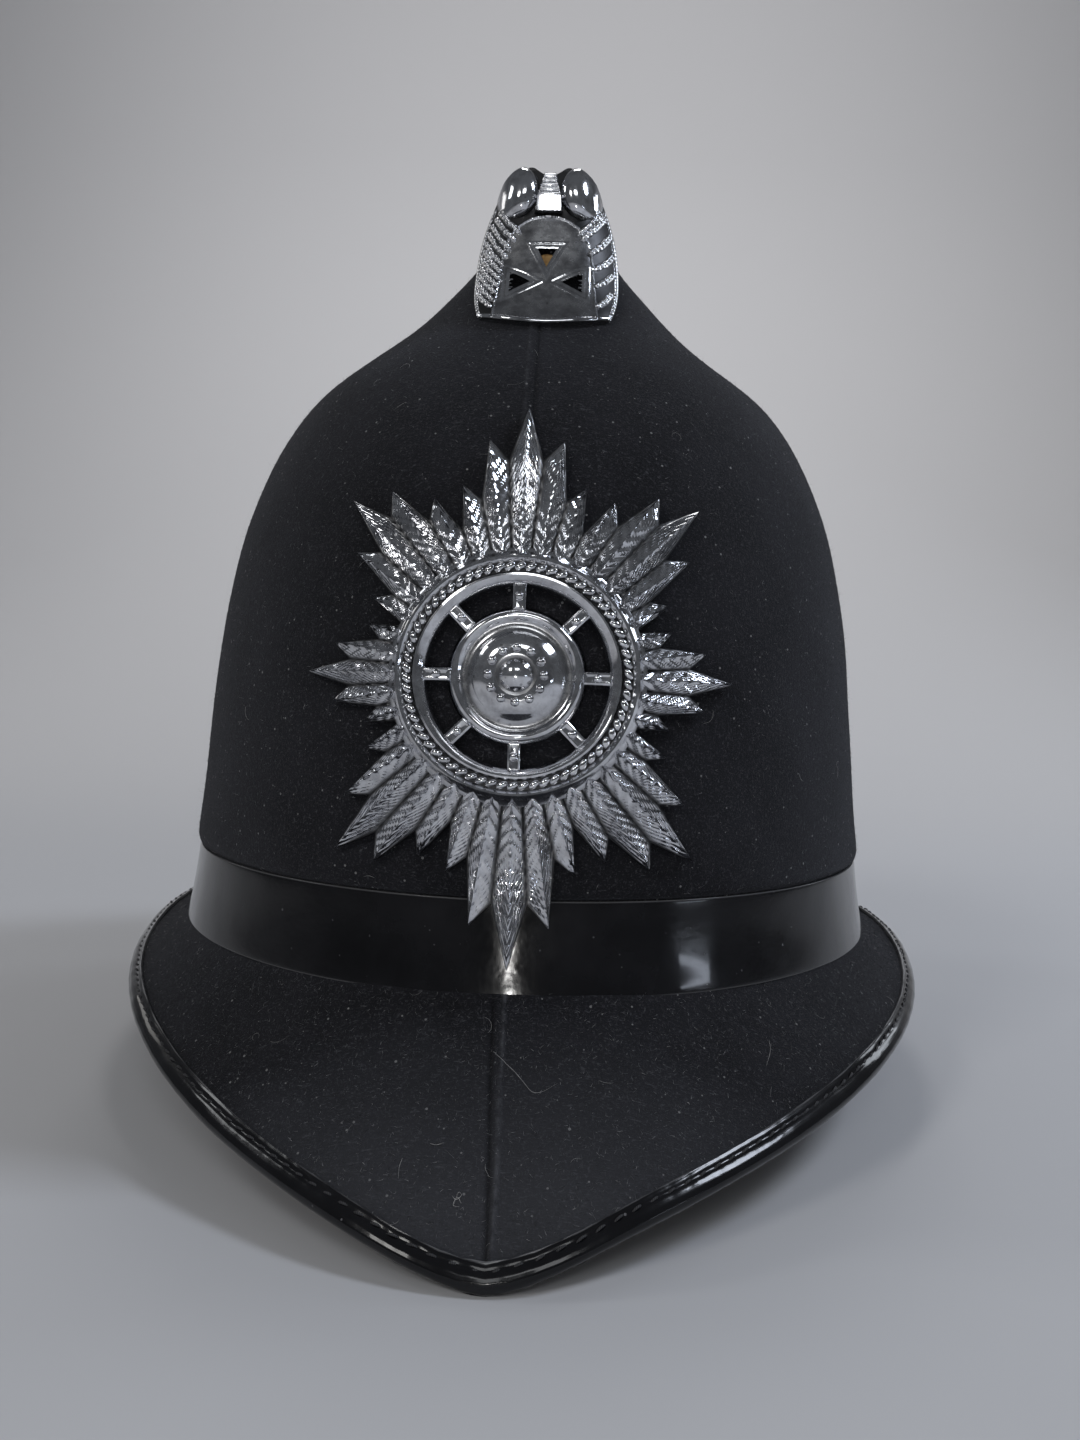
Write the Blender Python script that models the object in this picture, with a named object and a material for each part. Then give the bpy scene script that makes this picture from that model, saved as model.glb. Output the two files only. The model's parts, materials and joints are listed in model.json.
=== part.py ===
# A tall felt police helmet: crown with a comb, flared brim with a pointed front peak,
# patent band and edge binding, a rayed front plate and a pierced mount on the comb.
#
# The helmet is shaped about the upright axis of its head opening. Heights are counted
# from the band's top edge, the front faces -Y, and every size is in metres.
# At the end it is set on the floor with the origin under the middle of its box.

import math

import bmesh
import bpy
from mathutils import Vector

# Band, measured outside at its top edge
BAND_WIDTH = 0.1946
BAND_LENGTH = 0.2298
BAND_HEIGHT = 0.0197
BAND_THICKNESS = 0.0013
BAND_FLARE = 0.0030
BAND_HOLLOW = 0.0005

# Felt crown and its comb
CROWN_HEIGHT = 0.178
CROWN_WALL = 0.0028
CROWN_BULGE = 0.0011
CROWN_LEAN = 0.0019
COMB_WIDTH = 0.030
COMB_RISE = 0.017

# Felt brim
BRIM_THICKNESS = 0.0018
FRONT_REACH = 0.0433
PEAK_DROP = 0.0376
REAR_REACH = 0.0340
REAR_DROP = 0.0376

# Binding folded over the brim's edge
BINDING_STRIP = 0.0044
BINDING_THICKNESS = 0.0007
BINDING_ROUND = 0.0004
BINDING_BORDER = 0.0010
REST_FLAT = 0.0004

# Front plate
PLATE_WIDTH = 0.093
PLATE_TALL = 0.121
PLATE_FOOT = -0.0138
PLATE_SQUARENESS = 2.7
PLATE_THICKNESS = 0.0009
PLATE_GAP = 0.0006
MEDAL_RADIUS = 0.0265
RAY_HEIGHT = 0.0016
PLATE_POST_RADIUS = 0.0016
PLATE_POST_SPREAD = 0.0085

# Mount on the front end of the comb
MOUNT_WIDTH = 0.0368
MOUNT_TALL = 0.0400
MOUNT_FOOT = 0.1365
MOUNT_SAG = 0.0027
MOUNT_THICKNESS = 0.0012
MOUNT_WRAP = 0.0090
MOUNT_STANDOFF = 0.0026
CROSS_ARM = 0.0108
CROSS_END = 0.0105
WINDOW_WIDTH = 0.0216
BAR_RADIUS = 0.0005
LOBE_RADIUS = 0.0054
LOBE_DEPTH = 0.0042
LOBE_SPREAD = 0.0166

# Stud that holds the mount
STUD_RADIUS = 0.0017
STUD_HEAD_RADIUS = 0.0024
STUD_HEAD_THICKNESS = 0.0008

# Gap between pieces that touch, and how far a shank stands into the hollow crown
CLEARANCE = 0.0003
SHANK_INSIDE = 0.0030

# Half the distance, and half the turn, between the places that a slope is read from
SLOPE_STEP = 0.001
TURN_STEP = 0.02

# Points round the helmet, closer together at the front and the rear
ROUND_COUNT = 56

# Crown sections: height as a share of CROWN_HEIGHT; half width as a share of the dome's
# half width plus a share of half the COMB_WIDTH; front and rear as shares of the dome's
# half length; squareness is the section's exponent; comb is a share of COMB_RISE, added
# down the back; lean is a share of CROWN_LEAN.
CROWN_SHARES = [
    # height, dome, comb width, front, rear, squareness, comb, lean
    (0.000, 1.000, 0.00, -1.000, 1.000, 2.00, 0.00, 0.00),
    (0.067, 0.976, 0.00, -0.994, 0.992, 2.05, 0.03, 0.00),
    (0.169, 0.958, 0.00, -0.989, 0.988, 2.10, 0.08, 0.00),
    (0.281, 0.939, 0.00, -0.979, 0.971, 2.10, 0.16, 0.10),
    (0.393, 0.914, 0.00, -0.953, 0.927, 2.10, 0.26, 0.20),
    (0.506, 0.870, 0.00, -0.897, 0.858, 2.10, 0.36, 0.30),
    (0.601, 0.797, 0.00, -0.819, 0.763, 2.15, 0.43, 0.35),
    (0.674, 0.708, 0.03, -0.737, 0.660, 2.20, 0.50, 0.40),
    (0.736, 0.540, 0.12, -0.654, 0.543, 2.30, 0.58, 0.45),
    (0.787, 0.372, 0.36, -0.586, 0.422, 2.40, 0.72, 0.60),
    (0.843, 0.202, 0.66, -0.543, 0.259, 2.50, 1.00, 0.80),
    (0.899, 0.050, 0.96, -0.517, 0.121, 2.60, 1.00, 0.90),
    (0.955, 0.010, 0.98, -0.491, -0.017, 2.60, 0.60, 1.00),
    (0.986, 0.000, 0.80, -0.462, -0.130, 2.40, 0.15, 1.00),
    (1.000, 0.000, 0.42, -0.420, -0.200, 2.20, 0.00, 1.00),
]

# Brim edge by angle from the front centre line: reach is a share of the front reach up to
# the sides and of the rear reach behind them, and drop goes with it in the same way. The
# right side curls up a little, by a share of the front drop.
BRIM_SHARES = [
    # angle, front reach, rear reach, front drop, rear drop, right lift
    (0, 1.000, 0.00, 1.000, 0.00, 0.000),
    (5, 0.955, 0.00, 0.925, 0.00, 0.020),
    (11, 0.850, 0.00, 0.835, 0.00, 0.050),
    (20, 0.690, 0.00, 0.745, 0.00, 0.058),
    (32, 0.550, 0.00, 0.620, 0.00, 0.048),
    (45, 0.445, 0.00, 0.490, 0.00, 0.026),
    (60, 0.370, 0.00, 0.385, 0.00, 0.008),
    (75, 0.350, 0.00, 0.300, 0.00, 0.000),
    (90, 0.380, 0.00, 0.200, 0.00, 0.000),
    (105, 0.290, 0.15, 0.080, 0.06, 0.000),
    (120, 0.120, 0.46, 0.020, 0.20, 0.000),
    (135, 0.030, 0.74, 0.000, 0.44, 0.000),
    (148, 0.000, 0.91, 0.000, 0.83, 0.000),
    (157, 0.000, 0.97, 0.000, 0.97, 0.000),
    (166, 0.000, 0.99, 0.000, 1.00, 0.000),
    (180, 0.000, 1.00, 0.000, 1.00, 0.000),
]

# Binding width by angle from the front: the strip is narrower at the tip
BINDING_SHARES = [
    # angle, share
    (0, 0.78),
    (14, 0.88),
    (32, 1.00),
    (75, 0.86),
    (180, 0.90),
]

# Medallion profile: radius as a share of MEDAL_RADIUS, height as a share of RAY_HEIGHT
MEDAL_SHARES = [
    # radius, height
    (0.14, 2.90),
    (0.26, 2.20),
    (0.36, 0.75),
    (0.42, 0.60),
    (0.475, 1.30),
    (0.53, 0.60),
    (0.72, 0.60),
    (0.79, 1.55),
    (0.90, 1.55),
    (1.00, 0.35),
]
# Profile rows between which the medallion is pierced, and the ray of each point that
# stands over a spoke
PIERCED_FROM = 5
PIERCED_TO = 6
SPOKE_RAY = 2

# Rays of each of the plate's eight points: length as a share of the plate's oval
POINT_COUNT = 8
LONG_POINT_SHARES = (0.70, 0.86, 1.00, 0.86, 0.70)
SHORT_POINT_SHARES = (0.70, 0.83, 0.95, 0.83, 0.70)

# Mount outline: height as a share of MOUNT_TALL, half width as a share of half MOUNT_WIDTH,
# and how far its sides go back as a share of MOUNT_WRAP
MOUNT_SHARES = [
    # height, half width, wrap
    (0.000, 0.885, 1.00),
    (0.160, 0.978, 1.00),
    (0.320, 1.000, 1.00),
    (0.480, 0.980, 1.00),
    (0.640, 0.925, 1.00),
    (0.760, 0.835, 0.95),
    (0.860, 0.735, 0.75),
    (0.935, 0.630, 0.20),
]


def clear_scene():
    for item in list(bpy.data.objects):
        bpy.data.objects.remove(item, do_unlink=True)


def smooth_value(table, position, column):
    # A smooth curve through the rows of a table, whose first column is the position
    keys = [row[0] for row in table]
    values = [row[column] for row in table]
    if position <= keys[0]:
        return values[0]
    if position >= keys[-1]:
        return values[-1]
    low = max(i for i in range(len(keys) - 1) if keys[i] <= position)

    def slope(i):
        if i == 0 or i == len(keys) - 1:
            return 0.0
        before = (values[i] - values[i - 1]) / (keys[i] - keys[i - 1])
        after = (values[i + 1] - values[i]) / (keys[i + 1] - keys[i])
        if before * after <= 0.0:
            return 0.0
        return 2.0 * before * after / (before + after)

    span = keys[low + 1] - keys[low]
    s = (position - keys[low]) / span
    rise = values[low + 1] - values[low]
    start = slope(low) * span
    end = slope(low + 1) * span
    return values[low] + start * s + (3 * rise - 2 * start - end) * s**2 + (start + end - 2 * rise) * s**3


def round_angles():
    # Angles from the front centre line, denser where the outline turns most
    steps = [2 * math.pi * i / ROUND_COUNT for i in range(ROUND_COUNT)]
    return [u - 0.25 * math.sin(2 * u) for u in steps]


def degrees_from_front(angle):
    turned = math.degrees(angle) % 360
    return min(turned, 360 - turned)


def signed_power(value, exponent):
    return math.copysign(abs(value) ** exponent, value)


def dome_half_width():
    return BAND_WIDTH / 2 + CROWN_BULGE


def dome_half_length():
    return BAND_LENGTH / 2 + CROWN_BULGE


def crown_section(height):
    # Half width, front, rear, squareness, comb rise and lean of the crown at a height
    share = height / CROWN_HEIGHT
    dome, comb_width, front, rear, square, comb, lean = (
        smooth_value(CROWN_SHARES, share, column) for column in range(1, 8))
    half = dome * dome_half_width() + comb_width * COMB_WIDTH / 2
    length = dome_half_length()
    return half, front * length, rear * length, square, comb * COMB_RISE, lean * CROWN_LEAN


def crown_point(height, angle):
    half, front, rear, square, comb, lean = crown_section(height)
    across = signed_power(math.sin(angle), 2 / square) * half
    along = (front + rear) / 2 - signed_power(math.cos(angle), 2 / square) * (rear - front) / 2
    if math.cos(angle) < 0:
        along += comb * math.exp(-(across / (0.37 * COMB_WIDTH)) ** 2)
    return Vector((across + lean, along, height))


def crown_front(across, height):
    # How far forward the crown's surface stands at a place seen from the front
    half, front, rear, square, comb, lean = crown_section(height)
    share = min(abs(across - lean) / half, 1.0)
    return (front + rear) / 2 - (1 - share**square) ** (1 / square) * (rear - front) / 2


def crown_inside(height, angle):
    # The point of the crown's inner face behind a point of its outer face
    low = max(height - SLOPE_STEP, 0.0)
    high = min(height + SLOPE_STEP, CROWN_HEIGHT)
    around = crown_point(height, angle + TURN_STEP) - crown_point(height, angle - TURN_STEP)
    upward = crown_point(high, angle) - crown_point(low, angle)
    outward = around.cross(upward).normalized()
    return crown_point(height, angle) - outward * CROWN_WALL


def oval_point(half_width, half_length, height, angle):
    return Vector((half_width * math.sin(angle), -half_length * math.cos(angle), height))


def oval_outward(angle):
    # Level direction that points out of the head opening's oval
    return Vector((math.sin(angle) / BAND_WIDTH, -math.cos(angle) / BAND_LENGTH, 0)).normalized()


def band_point(height, angle, inset):
    # A point of the band's flared face, moved in by inset
    fall = -height / BAND_HEIGHT
    spread = BAND_FLARE * fall
    face = oval_point(BAND_WIDTH / 2 + spread, BAND_LENGTH / 2 + spread, height, angle)
    return face - oval_outward(angle) * inset


def band_back():
    return BAND_THICKNESS + CLEARANCE


def new_ring(mesh, points):
    return [mesh.verts.new(point) for point in points]


def skin_rings(mesh, rings, closed=True):
    for low, high in zip(rings, rings[1:]):
        count = len(low)
        for i in range(count if closed else count - 1):
            k = (i + 1) % count
            mesh.faces.new((low[i], low[k], high[k], high[i]))


def skin_leather(mesh, rings):
    # Skin of triangles that all lean the same way round the helmet, so that two twisted
    # faces which lie along each other keep their gap
    for near, far in zip(rings, rings[1:]):
        if near[0].co.xy.length > far[0].co.xy.length:
            near, far = far, near
        for i in range(len(near)):
            k = (i + 1) % len(near)
            mesh.faces.new((near[i], near[k], far[k]))
            mesh.faces.new((near[i], far[k], far[i]))


def close_fan(mesh, ring, centre):
    middle = mesh.verts.new(centre)
    for i, vert in enumerate(ring):
        mesh.faces.new((vert, ring[(i + 1) % len(ring)], middle))


def ring_middle(ring):
    return sum((vert.co for vert in ring), Vector()) / len(ring)


def plain_material(name, colour, roughness, metallic):
    material = bpy.data.materials.new(name)
    material.use_nodes = True
    shader = material.node_tree.nodes["Principled BSDF"]
    shader.inputs["Base Color"].default_value = (*colour, 1)
    shader.inputs["Roughness"].default_value = roughness
    shader.inputs["Metallic"].default_value = metallic
    return material


def finish_object(mesh, name, material, sharp_degrees):
    bmesh.ops.recalc_face_normals(mesh, faces=mesh.faces)
    data = bpy.data.meshes.new(name)
    mesh.to_mesh(data)
    mesh.free()
    data.shade_smooth()
    data.set_sharp_from_angle(angle=math.radians(sharp_degrees))
    item = bpy.data.objects.new(name, data)
    bpy.context.scene.collection.objects.link(item)
    if material:
        data.materials.append(material)
    return item


def hide_tool(item):
    item.hide_render = True
    item.display_type = "WIRE"


def add_boolean(item, tool, operation, crossing=False):
    # crossing says that the tool's own bodies run through each other
    hide_tool(tool)
    change = item.modifiers.new(operation.title() + " " + tool.name, "BOOLEAN")
    change.operation = operation
    change.object = tool
    change.solver = "EXACT"
    change.use_self = crossing


def rod_mesh(mesh, start, end, radius, sides):
    # A straight round rod with flat ends
    axis = (end - start).normalized()
    side = axis.orthogonal().normalized()
    other = axis.cross(side)
    turns = [2 * math.pi * i / sides for i in range(sides)]
    spokes = [(side * math.cos(turn) + other * math.sin(turn)) * radius for turn in turns]
    rings = [new_ring(mesh, [end_point + spoke for spoke in spokes]) for end_point in (start, end)]
    skin_rings(mesh, rings)
    mesh.faces.new(rings[0])
    mesh.faces.new(rings[1])


def make_crown(felt):
    angles = round_angles()
    join = -BAND_HEIGHT / 2
    shoulder = CROWN_BULGE * 1.4
    mesh = bmesh.new()

    outer = [new_ring(mesh, [band_point(join, a, band_back()) for a in angles])]
    outer.append(new_ring(mesh, [band_point(CLEARANCE, a, band_back()) for a in angles]))
    outer.append(new_ring(mesh, [band_point(CLEARANCE, a, CLEARANCE) for a in angles]))
    outer.append(new_ring(mesh, [crown_point(CLEARANCE + shoulder, a) for a in angles]))
    levels = [row[0] * CROWN_HEIGHT for row in CROWN_SHARES[1:]]
    extra = [(low + high) / 2 for low, high in zip(levels[6:], levels[7:-1])]
    for height in sorted(levels + extra):
        outer.append(new_ring(mesh, [crown_point(height, a) for a in angles]))
    skin_rings(mesh, outer)
    close_fan(mesh, outer[-1], ring_middle(outer[-1]))

    inner = [new_ring(mesh, [band_point(join, a, band_back() + CROWN_WALL) for a in angles])]
    inner.append(new_ring(mesh, [band_point(CLEARANCE, a, band_back() + CROWN_WALL) for a in angles]))
    for height in levels[1:]:
        inner.append(new_ring(mesh, [crown_inside(height, a) for a in angles]))
    skin_rings(mesh, inner)
    close_fan(mesh, inner[-1], ring_middle(inner[-1]))
    skin_rings(mesh, [outer[0], inner[0]])

    crown = finish_object(mesh, "crown", felt, 50)
    holes = bmesh.new()
    for start, end, radius in shank_lines():
        rod_mesh(holes, start, end, radius + CLEARANCE, 12)
    tool = finish_object(holes, "shank_holes", None, 30)
    add_boolean(crown, tool, "DIFFERENCE")
    return crown


def shank_lines():
    # Straight holes through the crown's front for the mount's stud and the plate's posts
    margin = Vector((0, CROWN_WALL, 0))
    stud_front, stud_back = stud_line()
    lines = [(stud_front - margin, stud_back + margin, STUD_RADIUS)]
    for start, end in post_lines():
        lines.append((start - margin, end + margin, PLATE_POST_RADIUS))
    return lines


def brim_edge(angle):
    # Level reach and drop of the brim's edge past the band's foot
    place = degrees_from_front(angle)
    reach_front, reach_rear, drop_front, drop_rear, lift = (
        smooth_value(BRIM_SHARES, place, column) for column in range(1, 6))
    if math.sin(angle) > 0:
        drop_front -= lift
    reach = reach_front * FRONT_REACH + reach_rear * REAR_REACH
    drop = drop_front * PEAK_DROP + drop_rear * REAR_DROP
    return reach, drop


def edge_place(angle):
    reach, drop = brim_edge(angle)
    return brim_place(angle, reach, -BAND_HEIGHT - CLEARANCE - drop)


def strip_reach(angle):
    # Width of the folded strip along one upright plane: drawn out where the edge runs askew
    run = (edge_place(angle + TURN_STEP) - edge_place(angle - TURN_STEP)).normalized()
    askew = max(run.cross(oval_outward(angle)).length, 0.6)
    return BINDING_STRIP * smooth_value(BINDING_SHARES, degrees_from_front(angle), 1) / askew


def brim_line(angle):
    # The brim's upper face in one upright plane: level distance out and height. Its border
    # is straight as far as the binding covers it.
    reach, drop = brim_edge(angle)
    foot = -BAND_HEIGHT - CLEARANCE
    border = min((strip_reach(angle) + BINDING_BORDER) / math.hypot(reach, drop), 0.8)
    points = []
    for share in (0.0, 0.5 * (1 - border), 1 - border, 1.0):
        sweep = 0.10 * drop * share * (1 - share)
        points.append((share * reach, foot - share * drop - sweep))
    return points


def brim_place(angle, out, height):
    foot = band_point(-BAND_HEIGHT, angle, band_back())
    place = foot + oval_outward(angle) * out
    place.z = height
    return place


def thicken_line(points, first_side, depth):
    # The same line moved down and inward by a depth, square to each stretch
    moved = []
    for i, (out, height) in enumerate(points):
        sides = []
        if i == 0:
            sides.append(first_side)
        for low, high in zip(points[max(i - 1, 0):i + 1], points[max(i, 1):i + 2]):
            run = Vector((high[0] - low[0], high[1] - low[1])).normalized()
            sides.append(Vector((run.y, -run.x)))
        middle = sum(sides, Vector((0, 0))).normalized()
        reach = depth / max(middle.dot(sides[0]), 0.5)
        moved.append((out + middle.x * reach, height + middle.y * reach))
    return moved


def make_brim(felt):
    angles = round_angles()
    top = -BAND_HEIGHT / 2 - CLEARANCE
    inward = Vector((-1, 0))
    mesh = bmesh.new()
    upper = [brim_line(a) for a in angles]
    lower = [thicken_line(line, inward, BRIM_THICKNESS) for line in upper]
    outside = [new_ring(mesh, [band_point(top, a, band_back()) for a in angles])]
    inside = [new_ring(mesh, [band_point(top, a, band_back() + BRIM_THICKNESS) for a in angles])]
    for k in range(len(upper[0])):
        outside.append(new_ring(mesh, [brim_place(a, *line[k]) for a, line in zip(angles, upper)]))
        inside.append(new_ring(mesh, [brim_place(a, *line[k]) for a, line in zip(angles, lower)]))
    skin_leather(mesh, [inside[0]] + outside + inside[::-1])
    return finish_object(mesh, "brim", felt, 50)


def make_band(patent):
    angles = round_angles()
    mesh = bmesh.new()
    rings = []
    for share, hollow in ((0.0, 0.0), (0.5, 1.0), (1.0, 0.0)):
        height = -share * BAND_HEIGHT
        rings.append(new_ring(mesh, [band_point(height, a, hollow * BAND_HOLLOW) for a in angles]))
    rings.append(new_ring(mesh, [band_point(-BAND_HEIGHT, a, BAND_THICKNESS) for a in angles]))
    rings.append(new_ring(mesh, [band_point(0.0, a, BAND_THICKNESS) for a in angles]))
    skin_rings(mesh, rings + [rings[0]])
    return finish_object(mesh, "band", patent, 50)


def binding_section(angle):
    # Out and up places of the folded strip about the middle of the brim's edge
    wide = strip_reach(angle)
    inner = BRIM_THICKNESS / 2 + CLEARANCE
    outer = inner + BINDING_THICKNESS
    nose = CLEARANCE + BINDING_THICKNESS
    shoulder = outer * 0.62
    section = [(-wide, outer), (-BINDING_ROUND, outer), (nose - BINDING_ROUND, shoulder), (nose, 0.0)]
    section += [(nose - BINDING_ROUND, -shoulder), (-BINDING_ROUND, -outer), (-wide, -outer)]
    section += [(-wide, -inner), (CLEARANCE, -inner), (CLEARANCE, inner), (-wide, inner)]
    return section


def make_binding(patent):
    angles = round_angles()
    columns = []
    for a in angles:
        line = brim_line(a)
        lower = thicken_line(line, Vector((-1, 0)), BRIM_THICKNESS)
        outward = Vector((line[-1][0] - line[-2][0], line[-1][1] - line[-2][1])).normalized()
        upward = Vector((-outward.y, outward.x))
        middle = (Vector(line[-1]) + Vector(lower[-1])) / 2
        column = []
        for out, up in binding_section(a):
            place = middle + outward * out + upward * up
            column.append(brim_place(a, place.x, place.y))
        columns.append(column)
    mesh = bmesh.new()
    rings = [new_ring(mesh, ring) for ring in zip(*columns)]
    skin_leather(mesh, rings + [rings[0]])
    level = floor_level(columns)
    cut = bmesh.ops.bisect_plane(mesh, geom=mesh.verts[:] + mesh.edges[:] + mesh.faces[:],
                                 plane_co=(0, 0, level), plane_no=(0, 0, 1), clear_inner=True)
    loose = [item for item in cut["geom_cut"] if isinstance(item, bmesh.types.BMEdge)]
    bmesh.ops.holes_fill(mesh, edges=loose, sides=0)
    return finish_object(mesh, "edge_binding", patent, 40)


def floor_level(columns):
    # The binding is pressed flat where it rests: under the front tip and along the rear
    front = min(point.z for column in columns for point in column if point.y < 0)
    rear = min(point.z for column in columns for point in column if point.y > 0)
    return max(front, rear) + REST_FLAT


def plate_middle():
    return PLATE_FOOT + PLATE_TALL / 2


def plate_seat(across, height):
    # The face that the plate's back follows: the crown, and below it clear of the band
    below = max(-height, 0.0) * BAND_FLARE / BAND_HEIGHT
    return Vector((across, crown_front(across, max(height, 0.0)) - below, height))


def plate_point(across, height, depth):
    wide = plate_seat(across + SLOPE_STEP, height) - plate_seat(across - SLOPE_STEP, height)
    tall = plate_seat(across, height + SLOPE_STEP) - plate_seat(across, height - SLOPE_STEP)
    return plate_seat(across, height) + wide.cross(tall).normalized() * (PLATE_GAP + depth)


def polar_point(radius, turn, depth):
    return plate_point(radius * math.sin(turn), plate_middle() + radius * math.cos(turn), depth)


def plate_radius(turn):
    # Reach of the plate's squarish oval in one direction
    across = abs(math.sin(turn)) / (PLATE_WIDTH / 2)
    upward = abs(math.cos(turn)) / (PLATE_TALL / 2)
    return (across**PLATE_SQUARENESS + upward**PLATE_SQUARENESS) ** (-1 / PLATE_SQUARENESS)


def ray_lengths():
    # True length of each ray, point by point round the plate
    lengths = []
    for point in range(POINT_COUNT):
        shares = LONG_POINT_SHARES if point % 2 == 0 else SHORT_POINT_SHARES
        lengths += shares
    start = -len(LONG_POINT_SHARES) // 2 + 1
    count = len(lengths)
    turns = [2 * math.pi * (i + start) / count for i in range(count)]
    return turns, [share * plate_radius(turn) for share, turn in zip(lengths, turns)]


def opens_under(ray):
    return ray % len(LONG_POINT_SHARES) != SPOKE_RAY


def make_plate_mesh():
    # One casting: reeded rays round a pierced medallion with a domed boss
    turns, lengths = ray_lengths()
    count = len(turns)
    half = math.pi / count
    valley = [turn - half for turn in turns]
    mesh = bmesh.new()

    def ring(radius, depth, places):
        return new_ring(mesh, [polar_point(radius, turn, depth) for turn in places])

    front = [ring(radius * MEDAL_RADIUS, PLATE_THICKNESS + height * RAY_HEIGHT, valley)
             for radius, height in MEDAL_SHARES]
    middle = mesh.verts.new(polar_point(0, 0, PLATE_THICKNESS + 3.1 * RAY_HEIGHT))
    pierced_in = MEDAL_SHARES[PIERCED_FROM][0] * MEDAL_RADIUS
    pierced_out = MEDAL_SHARES[PIERCED_TO][0] * MEDAL_RADIUS
    back = [ring(radius, 0, valley) for radius in (pierced_in, pierced_out, MEDAL_RADIUS)]
    back_middle = mesh.verts.new(polar_point(0, 0, 0))
    for i in range(count):
        k = (i + 1) % count
        open_here = opens_under(i)
        mesh.faces.new((front[0][i], front[0][k], middle))
        mesh.faces.new((back[0][i], back[0][k], back_middle))
        mesh.faces.new((back[1][i], back[1][k], back[2][k], back[2][i]))
        for row in range(len(front) - 1):
            if row != PIERCED_FROM or not open_here:
                mesh.faces.new((front[row][i], front[row][k], front[row + 1][k], front[row + 1][i]))
        if not open_here:
            mesh.faces.new((back[0][i], back[0][k], back[1][k], back[1][i]))
        else:
            for row, side in ((PIERCED_FROM, 0), (PIERCED_TO, 1)):
                mesh.faces.new((front[row][i], front[row][k], back[side][k], back[side][i]))
        if open_here != opens_under(i - 1):
            mesh.faces.new((front[PIERCED_FROM][i], front[PIERCED_TO][i], back[1][i], back[0][i]))

    add_rays(mesh, turns, lengths, valley, front[-1], back[-1])
    return mesh


def add_rays(mesh, turns, lengths, valley, front_rim, back_rim):
    count = len(turns)
    notch = [0.90 * min(lengths[i - 1], lengths[i]) for i in range(count)]
    for i in range(count):
        if i % len(LONG_POINT_SHARES) == 0:
            notch[i] *= 0.86
    shares = (0.36, 0.70, 1.0)

    def valley_line(i, depth):
        span = notch[i] - MEDAL_RADIUS
        points = [polar_point(MEDAL_RADIUS + span * share, valley[i], depth) for share in shares]
        return new_ring(mesh, points)

    groove = [valley_line(i, PLATE_THICKNESS) for i in range(count)]
    under = [valley_line(i, 0) for i in range(count)]
    for i in range(count):
        k = (i + 1) % count
        span = lengths[i] - MEDAL_RADIUS
        crest = [mesh.verts.new(polar_point(MEDAL_RADIUS + span * share, turns[i],
                                            PLATE_THICKNESS + RAY_HEIGHT * (1.05 - 0.55 * share)))
                 for share in (0.0, 0.30, 0.62)]
        tip = mesh.verts.new(polar_point(lengths[i], turns[i], PLATE_THICKNESS))
        tip_back = mesh.verts.new(polar_point(lengths[i], turns[i], 0))
        left = [front_rim[i]] + groove[i]
        right = [front_rim[k]] + groove[k]
        ridge = crest + [tip]
        mesh.faces.new((left[0], right[0], ridge[0]))
        for row in range(3):
            mesh.faces.new((left[row], ridge[row], ridge[row + 1], left[row + 1]))
            mesh.faces.new((ridge[row], right[row], right[row + 1], ridge[row + 1]))
        left_under = [back_rim[i]] + under[i]
        right_under = [back_rim[k]] + under[k]
        for row in range(3):
            mesh.faces.new((left_under[row], right_under[row], right_under[row + 1], left_under[row + 1]))
        mesh.faces.new((left_under[3], right_under[3], tip_back))
        mesh.faces.new((left[3], tip, tip_back, left_under[3]))
        mesh.faces.new((tip, right[3], right_under[3], tip_back))


def post_lines():
    # The plate's two hidden posts, above and below its middle
    lines = []
    for side in (-1, 1):
        height = plate_middle() + side * PLATE_POST_SPREAD
        face = plate_seat(0, height).y
        back = Vector((0, face + CROWN_WALL + SHANK_INSIDE, height))
        lines.append((Vector((0, face - PLATE_GAP - PLATE_THICKNESS, height)), back))
    return lines


def make_badge(chrome):
    badge = finish_object(make_plate_mesh(), "badge", chrome, 20)
    posts = bmesh.new()
    for start, end in post_lines():
        rod_mesh(posts, start, end, PLATE_POST_RADIUS, 8)
    add_boolean(badge, finish_object(posts, "badge_posts", None, 30), "UNION")
    return badge


def mount_half_width(share):
    return smooth_value(MOUNT_SHARES, share, 1) * MOUNT_WIDTH / 2


def mount_lean():
    return crown_section(MOUNT_FOOT + MOUNT_TALL / 2)[5]


def mount_place(share, rise, depth):
    # A place on the mount: share of its half width at a height above its foot, and depth
    # counted forward from its face. The sides go back until they meet the crown.
    sag = MOUNT_SAG * (1 - share**2) * max(1 - rise / (0.3 * MOUNT_TALL), 0.0)
    height = MOUNT_FOOT + rise - sag
    half = mount_half_width(rise / MOUNT_TALL)
    lean = mount_lean()
    face = crown_front(lean, height) - MOUNT_STANDOFF - MOUNT_THICKNESS
    rim_seat = crown_front(lean + half, height) - CLEARANCE - MOUNT_THICKNESS
    wrap = smooth_value(MOUNT_SHARES, rise / MOUNT_TALL, 2) * MOUNT_WRAP
    rim = min(face + wrap, max(rim_seat, face + MOUNT_THICKNESS))
    return Vector((lean + share * half, face + (rim - face) * abs(share) ** 3 - depth, height))


def mount_point(across, rise, depth):
    half = mount_half_width(rise / MOUNT_TALL)
    return mount_place(max(min(across / half, 1.0), -1.0), rise, depth)


def window_half(rise):
    # Half width of the arched window at a height above the mount's foot
    radius = WINDOW_WIDTH / 2
    spring = cross_rise() + 0.55 * radius
    if rise <= spring:
        return radius
    return math.sqrt(max(radius**2 - (rise - spring) ** 2, 0.0))


def cross_rise():
    return 0.252 * MOUNT_TALL


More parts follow.
